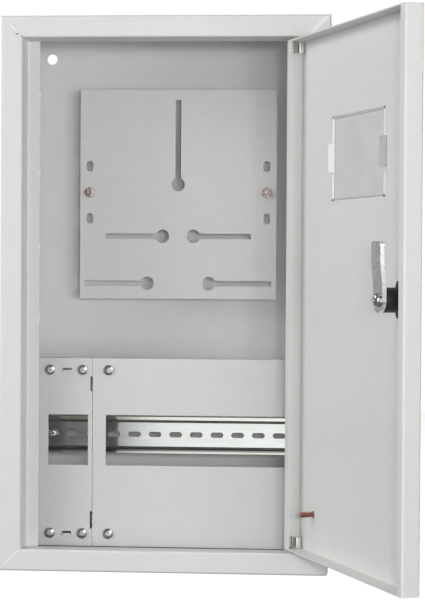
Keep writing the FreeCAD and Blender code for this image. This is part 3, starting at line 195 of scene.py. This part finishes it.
class Finish:
    """A node material around one Principled shader."""

    def __init__(self, name, **inputs):
        self.material = bpy.data.materials.new(name)
        self.material.use_nodes = True
        self.tree = self.material.node_tree
        self.shader = next(node for node in self.tree.nodes if node.type == "BSDF_PRINCIPLED")
        for socket, value in inputs.items():
            self.shader.inputs[socket.replace("_", " ")].default_value = value
        self.coordinates = self.add("ShaderNodeTexCoord").outputs["Object"]
        self.normal = None

    def add(self, kind, **inputs):
        """Adds a node, with values for its sockets, whose names have underscores for spaces."""
        node = self.tree.nodes.new(kind)
        for socket, value in inputs.items():
            node.inputs[socket.replace("_", " ")].default_value = value
        return node

    def link(self, source, target):
        """Joins an output to an input."""
        self.tree.links.new(source, target)

    def noise(self, size, detail=2.0, stretch=(1.0, 1.0, 1.0)):
        """Noise from 0 to 1 whose grains are about size metres across, drawn out along an axis by stretch."""
        mapping = self.add("ShaderNodeMapping", Scale=[1.0 / (size * part) for part in stretch])
        texture = self.add("ShaderNodeTexNoise", Scale=1.0, Detail=detail)
        self.link(self.coordinates, mapping.inputs["Vector"])
        self.link(mapping.outputs["Vector"], texture.inputs["Vector"])
        return texture.outputs["Fac"]

    def spread(self, source, low, high, socket):
        """Maps a 0 to 1 pattern onto a range of numbers and puts it into a socket of the shader."""
        ranged = self.add("ShaderNodeMapRange", From_Min=0.3, From_Max=0.7, To_Min=low, To_Max=high)
        self.link(source, ranged.inputs["Value"])
        self.link(ranged.outputs["Result"], self.shader.inputs[socket])

    def ramp(self, source, *stops):
        """Runs a 0 to 1 pattern through colour stops, each a position and a colour."""
        node = self.add("ShaderNodeValToRGB")
        while len(node.color_ramp.elements) < len(stops):
            node.color_ramp.elements.new(0.5)
        for element, (position, colour) in zip(node.color_ramp.elements, stops):
            element.position = position
            element.color = (*colour, 1.0)
        self.link(source, node.inputs["Fac"])
        return node.outputs["Color"]

    def colours(self, source, *stops):
        """Runs a 0 to 1 pattern through colour stops into the base colour."""
        self.link(self.ramp(source, *stops), self.shader.inputs["Base Color"])

    def bump(self, source, height):
        """Raises a 0 to 1 pattern by height metres, on top of any bump there is."""
        bump = self.add("ShaderNodeBump", Strength=1.0, Distance=height)
        self.link(source, bump.inputs["Height"])
        if self.normal:
            self.link(self.normal, bump.inputs["Normal"])
        self.normal = bump.outputs["Normal"]
        self.link(self.normal, self.shader.inputs["Normal"])


def powder_coat(name, level):
    """Light grey polyester powder with a fine orange peel, over sheet that is never quite flat."""
    finish = Finish(name, IOR=1.5)
    dark = (level - 0.008, level - 0.008, level - 0.020)
    light = (level + 0.008, level + 0.008, level - 0.004)
    finish.colours(finish.noise(0.012, 3.0), (0.35, dark), (0.65, light))
    finish.spread(finish.noise(0.004), 0.40, 0.50, "Roughness")
    finish.bump(finish.noise(0.09, 1.0), 0.00004)
    finish.bump(finish.noise(0.0011, 2.0), 0.000010)
    return finish.material


def zinc_plate(name, dark, light, smooth, rough):
    """Zinc plate on small turned and pressed parts, between two tones and two roughnesses."""
    finish = Finish(name, Metallic=1.0)
    finish.colours(finish.noise(0.003, 2.0), (0.3, dark), (0.7, light))
    finish.spread(finish.noise(0.0012, 3.0), smooth, rough, "Roughness")
    finish.bump(finish.noise(0.0006, 2.0), 0.000004)
    return finish.material


def rail_zinc():
    """Passivated zinc on rolled strip: drawn lines, yellow clouds, and a band across the lower flange darkened
    as a painted reflection.
    """
    finish = Finish("rail_zinc", Metallic=1.0)
    clouds = finish.ramp(
        finish.noise(0.02, 2.0, (2.5, 1.0, 0.6)),
        (0.30, (0.60, 0.62, 0.58)),
        (0.55, (0.64, 0.66, 0.655)),
        (0.75, (0.61, 0.63, 0.66)))
    low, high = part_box("din_rail")
    height = high.z - low.z
    split = finish.add("ShaderNodeSeparateXYZ")
    finish.link(finish.coordinates, split.inputs["Vector"])
    share = finish.add("ShaderNodeMapRange", From_Min=low.z, From_Max=high.z)
    finish.link(split.outputs["Z"], share.inputs["Value"])
    # The band across the lower flange is darkened as a painted reflection of the darker room below; the flange
    # edges keep a yellow tint.
    plain, yellow, painted_dark_reflection = (1.0, 1.0, 1.0), (1.0, 0.99, 0.92), (0.35, 0.36, 0.36)
    fade = (RAIL_PAINTED_REFLECTION_TOP - RAIL_PAINTED_REFLECTION_END) / 4
    tint_and_painted_reflection = finish.ramp(
        share.outputs["Result"],
        (RAIL_PAINTED_REFLECTION_END / height, yellow),
        ((RAIL_PAINTED_REFLECTION_END + fade) / height, painted_dark_reflection),
        (RAIL_PAINTED_REFLECTION_TOP / height, painted_dark_reflection),
        ((RAIL_PAINTED_REFLECTION_TOP + fade) / height, plain),
        (1.0 - RAIL_FLANGE / height, plain),
        (1.0 - RAIL_FLANGE / height / 2, yellow))
    tint = finish.add("ShaderNodeMix")
    tint.data_type = "RGBA"
    tint.blend_type = "MULTIPLY"
    tint.inputs["Factor"].default_value = 1.0
    finish.link(clouds, tint.inputs["A"])
    finish.link(tint_and_painted_reflection, tint.inputs["B"])
    finish.link(tint.outputs["Result"], finish.shader.inputs["Base Color"])
    drawn = (60.0, 1.0, 1.0)
    finish.spread(finish.noise(0.0012, 2.0, drawn), 0.10, 0.15, "Roughness")
    finish.bump(finish.noise(0.0010, 2.0, drawn), 0.000002)
    return finish.material


def copper_coat():
    """Copper-coated weld stud, dulled in patches."""
    finish = Finish("copper", Metallic=1.0)
    finish.colours(finish.noise(0.002, 3.0), (0.3, (0.50, 0.25, 0.20)), (0.7, (0.70, 0.40, 0.32)))
    finish.spread(finish.noise(0.0008, 2.0), 0.30, 0.45, "Roughness")
    return finish.material


def black_moulding():
    """Black satin plastic with a fine spark-eroded grain."""
    finish = Finish("black_plastic", IOR=1.47)
    finish.colours(finish.noise(0.004, 2.0), (0.3, (0.012, 0.012, 0.013)), (0.7, (0.022, 0.022, 0.024)))
    finish.spread(finish.noise(0.0015, 2.0), 0.36, 0.48, "Roughness")
    finish.bump(finish.noise(0.0004, 1.0), 0.000010)
    return finish.material


def smoked_pane():
    """Clear plastic with a faint violet cast and slight flow lines."""
    finish = Finish("clear_plastic", Transmission_Weight=1.0, IOR=1.05)
    finish.colours(finish.noise(0.03, 1.0), (0.3, (0.50, 0.50, 0.515)), (0.7, (0.53, 0.53, 0.545)))
    finish.spread(finish.noise(0.01, 1.0), 0.03, 0.08, "Roughness")
    finish.bump(finish.noise(0.02, 1.0), 0.00003)
    return finish.material


def frosted(name, dark, light, through):
    """Plastic ground matt, between two greys, of which the share through lets light pass; its lighter and
    darker copies stand for lit and shaded parts.
    """
    finish = Finish(name, Transmission_Weight=through, IOR=1.3)
    finish.colours(finish.noise(0.004, 2.0), (0.3, (dark, dark, dark)), (0.7, (light, light, light)))
    finish.spread(finish.noise(0.002, 1.0), 0.30, 0.45, "Roughness")
    return finish.material


# Finishes of the record's slots, then those of single pieces
FINISHES = {
    "paint": powder_coat("paint", 0.738),
    "zinc": zinc_plate("zinc", (0.80, 0.82, 0.84), (0.90, 0.91, 0.92), 0.15, 0.25),
    "copper": copper_coat(),
    "black_plastic": black_moulding(),
    "clear_plastic": smoked_pane(),
}
# The covers and the meter plate wear the case's paint, made darker as painted shade.
SHADED_COVER_FINISH = powder_coat("cover_paint_painted_shade", 0.644)
SHADED_PLATE_FINISH = powder_coat("plate_paint_painted_shade", 0.702)
# Weld beads wear the case's paint made lighter as painted highlight; the weld pits are dark slivers of painted
# shade.
WELD_HIGHLIGHT_FINISH = powder_coat("weld_paint_painted_highlight", 0.86)
PIT_SHADE_FINISH = zinc_plate("weld_pit_painted_shade", (0.26, 0.26, 0.26), (0.36, 0.36, 0.35), 0.5, 0.7)
RAIL_FINISH = rail_zinc()
NUT_FINISH = zinc_plate("nut_plate", (0.58, 0.47, 0.43), (0.70, 0.63, 0.60), 0.24, 0.38)
WASHER_FINISH = zinc_plate("washer_plate", (0.50, 0.51, 0.52), (0.62, 0.63, 0.63), 0.30, 0.45)
STUD_FINISH = zinc_plate("stud_copper", (0.62, 0.40, 0.34), (0.80, 0.60, 0.54), 0.28, 0.40)
CAM_FINISH = zinc_plate("cam_plate", (0.86, 0.88, 0.89), (0.94, 0.95, 0.95), 0.20, 0.30)
HINGE_FINISH = zinc_plate("hinge_plate", (0.84, 0.84, 0.82), (0.93, 0.93, 0.91), 0.16, 0.26)
# One frosted plastic in light and dark copies: the hinge-side clip and the sides are painted light, the
# free-side clip painted shaded, the bars painted dark as shadow lines.
LIT_CLIP_FINISH = frosted("clip_painted_light", 0.94, 0.98, 0.05)
SHADED_CLIP_FINISH = frosted("shaded_clip", 0.58, 0.66, 0.20)
LIT_SIDE_FINISH = frosted("frosted_side_painted_light", 0.92, 0.97, 0.05)
SHADED_BAR_FINISH = frosted("frosted_bar_painted_shadow", 0.60, 0.68, 0.20)

# Solids whose finish differs from that of their slot
OWN_FINISHES = {
    "din_rail": RAIL_FINISH,
    "left_cover": SHADED_COVER_FINISH,
    "right_cover": SHADED_COVER_FINISH,
    "meter_plate": SHADED_PLATE_FINISH,
    "lock_cam": CAM_FINISH,
    "hinge_barrel_top": HINGE_FINISH,
    "hinge_barrel_bottom": HINGE_FINISH,
    "plate_washers": WASHER_FINISH,
}


def dress(node, material):
    """Gives a node its finish."""
    mesh = nodes[node].data
    mesh.materials.clear()
    mesh.materials.append(material)


def soften(node, width):
    """Rounds a node's sharp edges by width metres."""
    thing = nodes[node]
    weld = thing.modifiers.new("weld", "WELD")
    weld.merge_threshold = 0.00001
    bevel = thing.modifiers.new("soften", "BEVEL")
    bevel.width = width
    bevel.segments = 2
    bevel.limit_method = "ANGLE"
    bevel.angle_limit = math.radians(40)
    bevel.harden_normals = True
    bevel.use_clamp_overlap = True
    flatten = thing.modifiers.new("flatten", "WEIGHTED_NORMAL")
    flatten.weight = 100
    flatten.keep_sharp = True


def extent(points):
    """The lowest and highest corner of some points."""
    low = Vector([min(point[axis] for point in points) for axis in range(3)])
    high = Vector([max(point[axis] for point in points) for axis in range(3)])
    return low, high


def solids(node):
    """The separate solids of a node, each as its lowest and highest corner in metres."""
    parts = bmesh.new()
    parts.from_mesh(nodes[node].data)
    bmesh.ops.remove_doubles(parts, verts=parts.verts, dist=SAME_POINT)
    waiting = set(parts.verts)
    boxes = []
    while waiting:
        found = [waiting.pop()]
        for vertex in found:
            for edge in vertex.link_edges:
                other = edge.other_vert(vertex)
                if other in waiting:
                    waiting.remove(other)
                    found.append(other)
        boxes.append(extent([vertex.co for vertex in found]))
    parts.free()
    return sorted(boxes, key=lambda box: tuple(box[0]))


def door_box(node):
    """The lowest and highest corner of a door node in the door's own frame, with the door shut."""
    back = DOOR_FRAME.inverted()
    return extent([back @ vertex.co for vertex in nodes[node].data.vertices])


def spot(place, outward):
    """A frame at a place whose Z axis points outward."""
    return Matrix.Translation(place) @ outward.to_track_quat("Z", "Y").to_matrix().to_4x4()


def add_piece(name, mesh, body, slot, material, *replaced):
    """Puts a mesh into the scene as a piece that rides on a body and stands for some nodes."""
    for polygon in mesh.polygons:
        polygon.use_smooth = True
    mesh.set_sharp_from_angle(angle=SMOOTH_ANGLE)
    mesh.materials.clear()
    mesh.materials.append(material)
    piece = bpy.data.objects.new(name, mesh)
    bpy.context.scene.collection.objects.link(piece)
    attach(piece, body)
    if replaced:
        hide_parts(*replaced)


def mesh_of(shape, name):
    """Turns a drawn shape into a mesh."""
    mesh = bpy.data.meshes.new(name)
    shape.to_mesh(mesh)
    shape.free()
    return mesh


def finished(shape, name):
    """Turns a drawn shape into a mesh with its faces outward."""
    bmesh.ops.recalc_face_normals(shape, faces=shape.faces)
    return mesh_of(shape, name)


def join(shape, part, place):
    """Adds a drawn part to a shape at a place, which is given as a matrix."""
    part.transform(place)
    shape.from_mesh(mesh_of(part, "joined_part"))


def add_rings(shape, rings, capped=True):
    """Skins a list of closed rings of points, with the ends capped or left open."""
    loops = [[shape.verts.new(point) for point in ring] for ring in rings]
    count = len(loops[0])
    for one, other in zip(loops, loops[1:]):
        for index in range(count):
            following = (index + 1) % count
            shape.faces.new((one[index], one[following], other[following], other[index]))
    if capped:
        shape.faces.new(loops[0][::-1])
        shape.faces.new(loops[-1])


def circle(radius, height, count=48):
    """A ring of points about the Z axis."""
    angles = [TURN * index / count for index in range(count)]
    return [(radius * math.cos(angle), radius * math.sin(angle), height) for angle in angles]


def thread(shape, radius, start, end, tip_chamfer, count=24):
    """A screw thread about the Z axis from start to end, with the tip at the end."""
    steps = int(abs(end - start) / SCREW_PITCH * RINGS_PER_PITCH)
    rings = []
    for step in range(steps + 1):
        height = start + (end - start) * step / steps
        to_tip = abs(end - height)
        limit = radius - max(0.0, tip_chamfer - to_tip)
        ring = []
        for index in range(count):
            phase = (height / SCREW_PITCH - index / count) % 1.0
            depth = THREAD_DEPTH * abs(2.0 * phase - 1.0)
            reach = min(radius - depth, limit)
            angle = TURN * index / count
            ring.append((reach * math.cos(angle), reach * math.sin(angle), height))
        rings.append(ring)
    if end < start:
        rings.reverse()
    add_rings(shape, rings)


def carve(mesh, cutter):
    """The mesh with the cutter's shape taken out."""
    block = bpy.data.objects.new("carve_block", mesh)
    tool = bpy.data.objects.new("carve_tool", cutter)
    for thing in (block, tool):
        bpy.context.scene.collection.objects.link(thing)
    modifier = block.modifiers.new("carve", "BOOLEAN")
    modifier.object = tool
    modifier.operation = "DIFFERENCE"
    modifier.solver = "EXACT"
    graph = bpy.context.evaluated_depsgraph_get()
    carved = bpy.data.meshes.new_from_object(block.evaluated_get(graph))
    for thing in (block, tool):
        bpy.data.objects.remove(thing)
    return carved


def cross(span, width, height):
    """A ring of points in the form of an upright cross."""
    far, close = span / 2, width / 2
    corners = [(far, -close), (far, close), (close, close)]
    ring = []
    for _ in range(4):
        ring.extend((x, y, height) for x, y in corners)
        corners = [(-y, x) for x, y in corners]
    return ring


def pan_screw(head_dia, length):
    """A pan-head screw: domed head with a tapered cross recess above its seat, threaded shank below."""
    dome = bmesh.new()
    radius = head_dia / 2
    rings = [circle(radius * HEAD_SEAT, 0.0), circle(radius, HEAD_CHAMFER), circle(radius, HEAD_RIM)]
    for step in range(1, DOME_STEPS):
        angle = TURN / 4 * step / DOME_STEPS
        rise = math.sin(angle) ** DOME_FULLNESS
        rings.append(circle(radius * math.cos(angle), HEAD_RIM + (HEAD_HEIGHT - HEAD_RIM) * rise))
    add_rings(dome, rings)
    recess = bmesh.new()
    foot = HEAD_HEIGHT - RECESS_DEPTH
    mouth = HEAD_HEIGHT + RECESS_ABOVE
    add_rings(recess, [
        cross(RECESS_SPAN * RECESS_FOOT_SPAN, RECESS_WIDTH * RECESS_FOOT_WIDTH, foot),
        cross(RECESS_SPAN * RECESS_MOUTH_SPAN, RECESS_WIDTH * RECESS_MOUTH_WIDTH, mouth)])
    shape = bmesh.new()
    shape.from_mesh(carve(finished(dome, "screw_head"), finished(recess, "screw_recess")))
    thread(shape, SCREW_DIA / 2, 0.0, -length, SCREW_TIP)
    return mesh_of(shape, "pan_screw")


def copies(template, name, places):
    """One mesh with a copy of the template at each place, each given as a matrix."""
    shape = bmesh.new()
    for place in places:
        start = len(shape.verts)
        shape.from_mesh(template)
        shape.verts.ensure_lookup_table()
        bmesh.ops.transform(shape, matrix=place, verts=shape.verts[start:])
    return mesh_of(shape, name)


def make_screws():
    """The cover, rail and cam screws, each recess turned as a driver happens to leave it."""
    turns = random.Random(4)
    low, high = solids("left_cover_screws")[0]
    head_dia = high.z - low.z
    template = pan_screw(head_dia, high.y - low.y - HEAD_HEIGHT)
    for node in ("left_cover_screws", "right_cover_screws", "rail_screws"):
        places = []
        for low, high in solids(node):
            middle = (low + high) / 2
            seat = Vector((middle.x, low.y + HEAD_HEIGHT, middle.z))
            turned = Matrix.Rotation(turns.uniform(-RECESS_TURN, RECESS_TURN), 4, "Z")
            places.append(spot(seat, FRONT) @ turned)
        add_piece("domed_" + node, copies(template, node, places), "case", "zinc", FINISHES["zinc"], node)
    low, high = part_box("cam_washer")
    seat = (low + high) / 2 + DOOR_INWARD * CAM_WASHER_HALF
    cam_screw = copies(template, "cam_screw", [spot(seat, DOOR_INWARD)])
    add_piece("domed_cam_screw", cam_screw, "lock", "zinc", FINISHES["zinc"], "cam_screw")


def make_studs():
    """Copper-coated threaded studs on the back, and one with a weld collar on the door."""
    shape = bmesh.new()
    for low, high in solids("plate_studs"):
        middle = (low + high) / 2
        part = bmesh.new()
        thread(part, (high.z - low.z) / 2, 0.0, high.y - low.y, STUD_TIP)
        join(shape, part, spot((middle.x, high.y, middle.z), FRONT))
    studs = finished(shape, "plate_studs")
    add_piece("threaded_plate_studs", studs, "case", "copper", STUD_FINISH, "plate_studs")

    low, high = door_box("door_earth_stud")
    middle = (low + high) / 2
    radius = (high.z - low.z) / 2
    shape = bmesh.new()
    add_rings(shape, [
        circle(radius * 1.3, 0.0),
        circle(radius * 1.25, COLLAR_EDGE),
        circle(radius, COLLAR_HEIGHT)])
    thread(shape, radius, COLLAR_START, high.y - low.y, STUD_TIP)
    shape.transform(spot(DOOR_FRAME @ Vector((middle.x, low.y, middle.z)), DOOR_INWARD))
    stud = finished(shape, "earth_stud")
    add_piece("threaded_earth_stud", stud, "door", "copper", FINISHES["copper"], "door_earth_stud")


def hexagon_nut(length):
    """A bored hexagon nut about the Z axis, with the corners turned down at both ends."""
    flat = NUT_ACROSS / 2
    corners = []
    for index in range(NUT_POINTS):
        angle = TURN * index / NUT_POINTS
        lean = (angle + TURN / 12) % (TURN / 6) - TURN / 12
        corners.append((angle, flat / math.cos(lean)))
    bevels = []
    for height, sign in ((0.0, 1.0), (length, -1.0)):
        ring = []
        for angle, reach in corners:
            drop = (reach - flat * 0.98) * math.tan(NUT_BEVEL)
            ring.append((reach * math.cos(angle), reach * math.sin(angle), height + sign * drop))
        bevels.append(ring)
    faces = [circle(flat * 0.95, height, NUT_POINTS) for height in (0.0, length)]
    bore = [circle(SCREW_DIA / 2 + NUT_PLAY, height, NUT_POINTS) for height in (length, 0.0)]
    part = bmesh.new()
    add_rings(part, [faces[0], *bevels, faces[1], *bore, faces[0]], capped=False)
    bmesh.ops.remove_doubles(part, verts=part.verts, dist=SAME_POINT)
    return part


def make_nuts():
    """The nuts over the plate studs."""
    shape = bmesh.new()
    for low, high in solids("plate_nuts"):
        middle = (low + high) / 2
        join(shape, hexagon_nut(high.y - low.y), spot((middle.x, high.y, middle.z), FRONT))
    nuts = finished(shape, "plate_nuts")
    add_piece("chamfered_plate_nuts", nuts, "case", "zinc", NUT_FINISH, "plate_nuts")


def add_door_piece(name, shape, material, *replaced):
    """Puts a piece of the window, drawn in the frame of the shut door, onto the door."""
    shape.transform(DOOR_FRAME)
    add_piece(name, finished(shape, name), "door", "clear_plastic", material, *replaced)


def rectangle(middle, half_width, half_height, depth):
    """A ring of four corners in the door's plane, depth metres behind the hinge axis."""
    corners = ((-1, -1), (1, -1), (1, 1), (-1, 1))
    return [(middle.x + x * half_width, depth, middle.z + z * half_height) for x, z in corners]


def add_peg(shape, place):
    """A short round peg that stands towards the inside of the shut door."""
    peg = bmesh.new()
    radius = PEG_DIA / 2
    add_rings(peg, [
        circle(radius, 0.0, PEG_POINTS),
        circle(radius, PEG_SHOULDER, PEG_POINTS),
        circle(radius * PEG_TIP, PEG_HEIGHT, PEG_POINTS)])
    join(shape, peg, spot(place, Vector((0.0, 1.0, 0.0))))


def make_window():
    """The pane with its outside rim, frosted sides painted light and bars painted dark as shadow lines, corner
    pegs, and two snap clips that hold it, one painted light and one painted shaded.
    """
    low, high = door_box("door_window")
    middle = (low + high) / 2
    rim_width, rim_height = (high.x - low.x) / 2, (high.z - low.z) / 2
    width, height = rim_width - PANE_RIM, rim_height - PANE_RIM
    plug_width, plug_height = width - PANE_SIDE, height - PANE_SIDE
    outside = low.y
    skin = outside + PANE_RIM_GAUGE
    inside = skin + PANE_GAUGE
    face = skin + PANE_FACE
    pane = bmesh.new()
    add_rings(pane, [
        rectangle(middle, rim_width - PANE_EDGE, rim_height - PANE_EDGE, outside),
        rectangle(middle, rim_width, rim_height, outside + PANE_EDGE),
        rectangle(middle, rim_width, rim_height, skin),
        rectangle(middle, plug_width, plug_height, skin),
        rectangle(middle, plug_width, plug_height, face)])
    add_door_piece("window_pane", pane, FINISHES["clear_plastic"], "door_window")

    sides = bmesh.new()
    bars = bmesh.new()
    pegs = bmesh.new()
    for side in (-1.0, 1.0):
        strip = middle + Vector((side * (width - PANE_SIDE / 2), 0.0, 0.0))
        half = PANE_SIDE / 2
        add_rings(sides, [
            rectangle(strip, half, height, skin),
            rectangle(strip, half, height, inside - PANE_EDGE),
            rectangle(strip, half - PANE_EDGE, height - PANE_EDGE, inside)])
        bar_height = PANE_TOP if side > 0.0 else PANE_SIDE
        bar = middle + Vector((0.0, 0.0, side * (height - bar_height / 2)))
        add_rings(bars, [
            rectangle(bar, plug_width, bar_height / 2, face),
            rectangle(bar, plug_width, bar_height / 2, inside - PANE_EDGE),
            rectangle(bar, plug_width, bar_height / 2 - PANE_EDGE, inside)])
        for end in (-1.0, 1.0):
            peg_x = middle.x + side * (width - PEG_INSET_ACROSS)
            peg_z = middle.z + end * (height - PEG_INSET_UP)
            add_peg(pegs, Vector((peg_x, inside - PEG_SINK, peg_z)))
    # The sides take the light copy as painted light, the bars the dark copy as painted shadow lines.
    add_door_piece("window_sides", sides, LIT_SIDE_FINISH)
    add_door_piece("window_bars", bars, SHADED_BAR_FINISH)
    add_door_piece("window_pegs", pegs, WASHER_FINISH)

    under_hook = skin + SHEET + CLIP_PLAY
    ends = (middle.z - CLIP_HEIGHT / 2, middle.z + CLIP_HEIGHT / 2)
    # The free-side clip takes the darker copy as painted shade, the hinge-side clip the lighter copy as
    # painted light.
    for name, side, material in (
            ("window_free_side_clip", -1.0, SHADED_CLIP_FINISH),
            ("window_hinge_side_clip", 1.0, LIT_CLIP_FINISH)):
        edge = middle.x + side * width
        section = [
            (edge - side * CLIP_GAUGE, face),
            (edge - side * CLIP_GAUGE, high.y),
            (edge, high.y),
            (edge + side * CLIP_HOOK, under_hook + CLIP_GAUGE / 2),
            (edge + side * CLIP_HOOK, under_hook),
            (edge, under_hook),
            (edge, face)]
        clip = bmesh.new()
        add_rings(clip, [[(x, y, level) for x, y in section] for level in ends])
        add_door_piece(name, clip, material)


def add_bead(shape, start, end, width, height, wobble):
    """A weld bead from start to end on a front face, with ripples, lumps and an uneven edge."""
    along = (end - start).normalized()
    across = FRONT.cross(along)
    steps = max(8, int((end - start).length / BEAD_STEP))
    rings = []
    for step in range(steps + 1):
        share = step / steps
        taper = min(1.0, 6.0 * share + 0.2, 6.0 * (1.0 - share) + 0.2)
        distance = share * (end - start).length
        lump = math.sin(distance / BEAD_SHORT_LUMP)
        lump *= math.sin(distance / BEAD_LONG_LUMP + height * BEAD_LUMP_PHASE)
        swell = 1.0 + 0.2 * math.sin(distance / BEAD_RIPPLE) + 0.5 * lump + wobble.uniform(-0.12, 0.12)
        middle = start.lerp(end, share) + across * (wobble.uniform(-0.06, 0.06) + 0.12 * lump) * width
        ring = []
        for index in range(7):
            angle = math.pi * index / 6
            rise = math.sin(angle) * height * swell * taper - BEAD_SINK
            ring.append(middle + across * math.cos(angle) * width / 2 * taper + FRONT * rise)
        rings.append(ring)
    add_rings(shape, rings)


def make_welds():
    """Mitre beads across the corners of the front flange, two pits beside one drawn as dark slivers of painted
    shade, and tacks on the left stop; beads and tacks wear paint made lighter as painted highlight.
    """
    wobble = random.Random(11)
    shape = bmesh.new()
    for x_side, z_side, width, height, first in MITRE_BEADS:
        x_edge = CASE_LOW.x if x_side > 0.0 else CASE_HIGH.x
        z_edge = CASE_LOW.z if z_side > 0.0 else CASE_HIGH.z
        corner = Vector((x_edge, CASE_LOW.y, z_edge))
        inward = Vector((x_side, 0.0, z_side))
        start = corner + inward * first * MM + BEAD_LIFT
        end = corner + inward * (FLANGE_WIDTH - BEAD_END) + BEAD_LIFT
        add_bead(shape, start, end, width * MM, height * MM, wobble)
    stop_front = CASE_LOW.y + REBATE_DEPTH
    stop_edge = CASE_LOW.x + FLANGE_WIDTH + STOP_WIDTH
    for level, length in STOP_TACKS:
        tack = Vector((stop_edge - TACK_INSET, stop_front, level))
        add_bead(shape, tack, tack + Vector((0.0, 0.0, length * MM)), TACK_WIDTH, TACK_HEIGHT, wobble)
    # Beads and tacks take the lighter paint as painted highlight.
    add_piece("mitre_welds", finished(shape, "mitre_welds"), "case", "paint", WELD_HIGHLIGHT_FINISH)

    # The pits are raised dark slivers that stand in for the shade inside the pitted weld.
    pits = bmesh.new()
    upper_left = Vector((CASE_LOW.x, CASE_LOW.y, CASE_HIGH.z))
    for x, z, x_run, z_run in WELD_PITS:
        first = upper_left + Vector((x * MM, 0.0, z * MM))
        last = first + Vector((x_run * MM, 0.0, z_run * MM))
        add_bead(pits, first, last, PIT_WIDTH, PIT_HEIGHT, wobble)
    add_piece("weld_pits", finished(pits, "weld_pits"), "case", "paint", PIT_SHADE_FINISH)


def softbox(name, place, target, size, power, seen=True, lights=True):
    """A rectangular light that looks at target, and may be left out of reflections or only be in them."""
    lamp = bpy.data.lights.new(name, "AREA")
    lamp.shape = "RECTANGLE"
    lamp.size, lamp.size_y = size
    lamp.energy = power
    thing = bpy.data.objects.new(name, lamp)
    thing.location = place
    thing.rotation_euler = (Vector(target) - Vector(place)).to_track_quat("-Z", "Y").to_euler()
    thing.visible_camera = False
    thing.visible_glossy = seen
    thing.visible_diffuse = lights
    bpy.context.scene.collection.objects.link(thing)


def make_light():
    """Soft boxes at the front, both sides and behind, and panels that only the metal and the gloss reflect."""
    middle = (0.0, -0.10, 0.0)
    door = (0.05, -0.15, 0.05)
    softbox("front_light", (0.16, -1.95, 0.03), middle, (0.25, 0.25), 2.6, seen=False)
    softbox("key_light", (0.30, -1.95, 0.12), middle, (0.12, 0.12), 5.1, seen=False)
    softbox("right_light", (0.58, -2.05, 0.12), middle, (0.3, 0.3), 4.0, seen=False)
    softbox("right_low_light", (1.00, -2.00, -0.05), middle, (0.8, 0.6), 11.2, seen=False)
    softbox("left_light", (-1.55, -1.05, 0.45), door, (1.0, 1.4), 12.5, seen=False)
    softbox("left_high_light", (-1.25, -1.50, 0.95), door, (1.0, 1.0), 7.2, seen=False)
    softbox("left_back_light", (-2.00, -0.30, 1.20), door, (0.8, 0.8), 11.8)
    softbox("back_light", (1.2, 2.2, 1.4), (0.0, 0.0, 0.0), (1.6, 1.6), 20.0)
    softbox("front_panel", (0.445, -2.30, -0.05), (0.445, 0.0, -0.05), (1.49, 1.9), 11.0, lights=False)
    softbox("right_panel", (1.70, -1.70, 0.80), middle, (1.4, 1.4), 18.5, lights=False)


def make_room():
    """A white room that is dim as a light, and bright where it is seen directly or through the pane."""
    world = bpy.data.worlds.new("studio")
    world.use_nodes = True
    tree = world.node_tree
    background = next(node for node in tree.nodes if node.type == "BACKGROUND")
    path = tree.nodes.new("ShaderNodeLightPath")
    seen = tree.nodes.new("ShaderNodeMath")
    seen.operation = "MAXIMUM"
    tree.links.new(path.outputs["Is Camera Ray"], seen.inputs[0])
    tree.links.new(path.outputs["Is Transmission Ray"], seen.inputs[1])
    level = tree.nodes.new("ShaderNodeMapRange")
    level.inputs["To Min"].default_value = ROOM_LEVEL
    level.inputs["To Max"].default_value = BACKDROP_LEVEL
    tree.links.new(seen.outputs[0], level.inputs["Value"])
    tree.links.new(level.outputs["Result"], background.inputs["Strength"])
    background.inputs["Color"].default_value = WHITE
    bpy.context.scene.world = world
    bpy.context.scene.view_settings.view_transform = "Standard"


def make_floor():
    """A plain pale floor below and behind the box, which hangs above it as on a wall."""
    low, high = FLOOR_LOW, FLOOR_HIGH
    mesh = bpy.data.meshes.new("floor")
    corners = [(low.x, low.y), (high.x, low.y), (high.x, high.y), (low.x, high.y)]
    mesh.from_pydata([(x, y, FLOOR_LEVEL) for x, y in corners], [], [(0, 1, 2, 3)])
    floor = bpy.data.objects.new("floor", mesh)
    floor.visible_diffuse = False
    floor.visible_glossy = False
    bpy.context.scene.collection.objects.link(floor)
    finish = Finish("pale_floor", Emission_Color=WHITE, Emission_Strength=0.86)
    finish.colours(finish.noise(0.3, 2.0), (0.3, (0.38, 0.38, 0.38)), (0.7, (0.40, 0.40, 0.40)))
    finish.spread(finish.noise(0.05, 2.0), 0.55, 0.65, "Roughness")
    mesh.materials.append(finish.material)


def make_camera():
    """The photograph's camera, rolled by the small tilt that the photograph has."""
    yaw, pitch, roll = (math.radians(angle) for angle in (CAMERA_YAW, CAMERA_PITCH, CAMERA_ROLL))
    ahead = Vector((math.sin(yaw) * math.cos(pitch), math.cos(yaw) * math.cos(pitch), math.sin(pitch)))
    level_right = ahead.cross(Vector((0, 0, 1))).normalized()
    level_up = level_right.cross(ahead)
    right = math.cos(roll) * level_right + math.sin(roll) * level_up
    up = math.cos(roll) * level_up - math.sin(roll) * level_right
    lens = bpy.data.cameras.new("camera")
    lens.sensor_width = SENSOR
    lens.lens = CAMERA_LENS
    camera = bpy.data.objects.new("camera", lens)
    turn = Matrix((right, up, -ahead)).transposed()
    camera.matrix_world = Matrix.Translation(CAMERA_PLACE) @ turn.to_4x4()
    bpy.context.scene.collection.objects.link(camera)
    bpy.context.scene.camera = camera


for subpart in frame["record"]["subparts"]:
    dress(subpart["node"], FINISHES[subpart["material_slot"]])
for own_node, own_finish in OWN_FINISHES.items():
    dress(own_node, own_finish)
for soft_node, soft_width in SOFT_EDGES.items():
    soften(soft_node, soft_width)
make_screws()
make_studs()
make_nuts()
make_window()
make_welds()
make_light()
make_room()
make_floor()
make_camera()
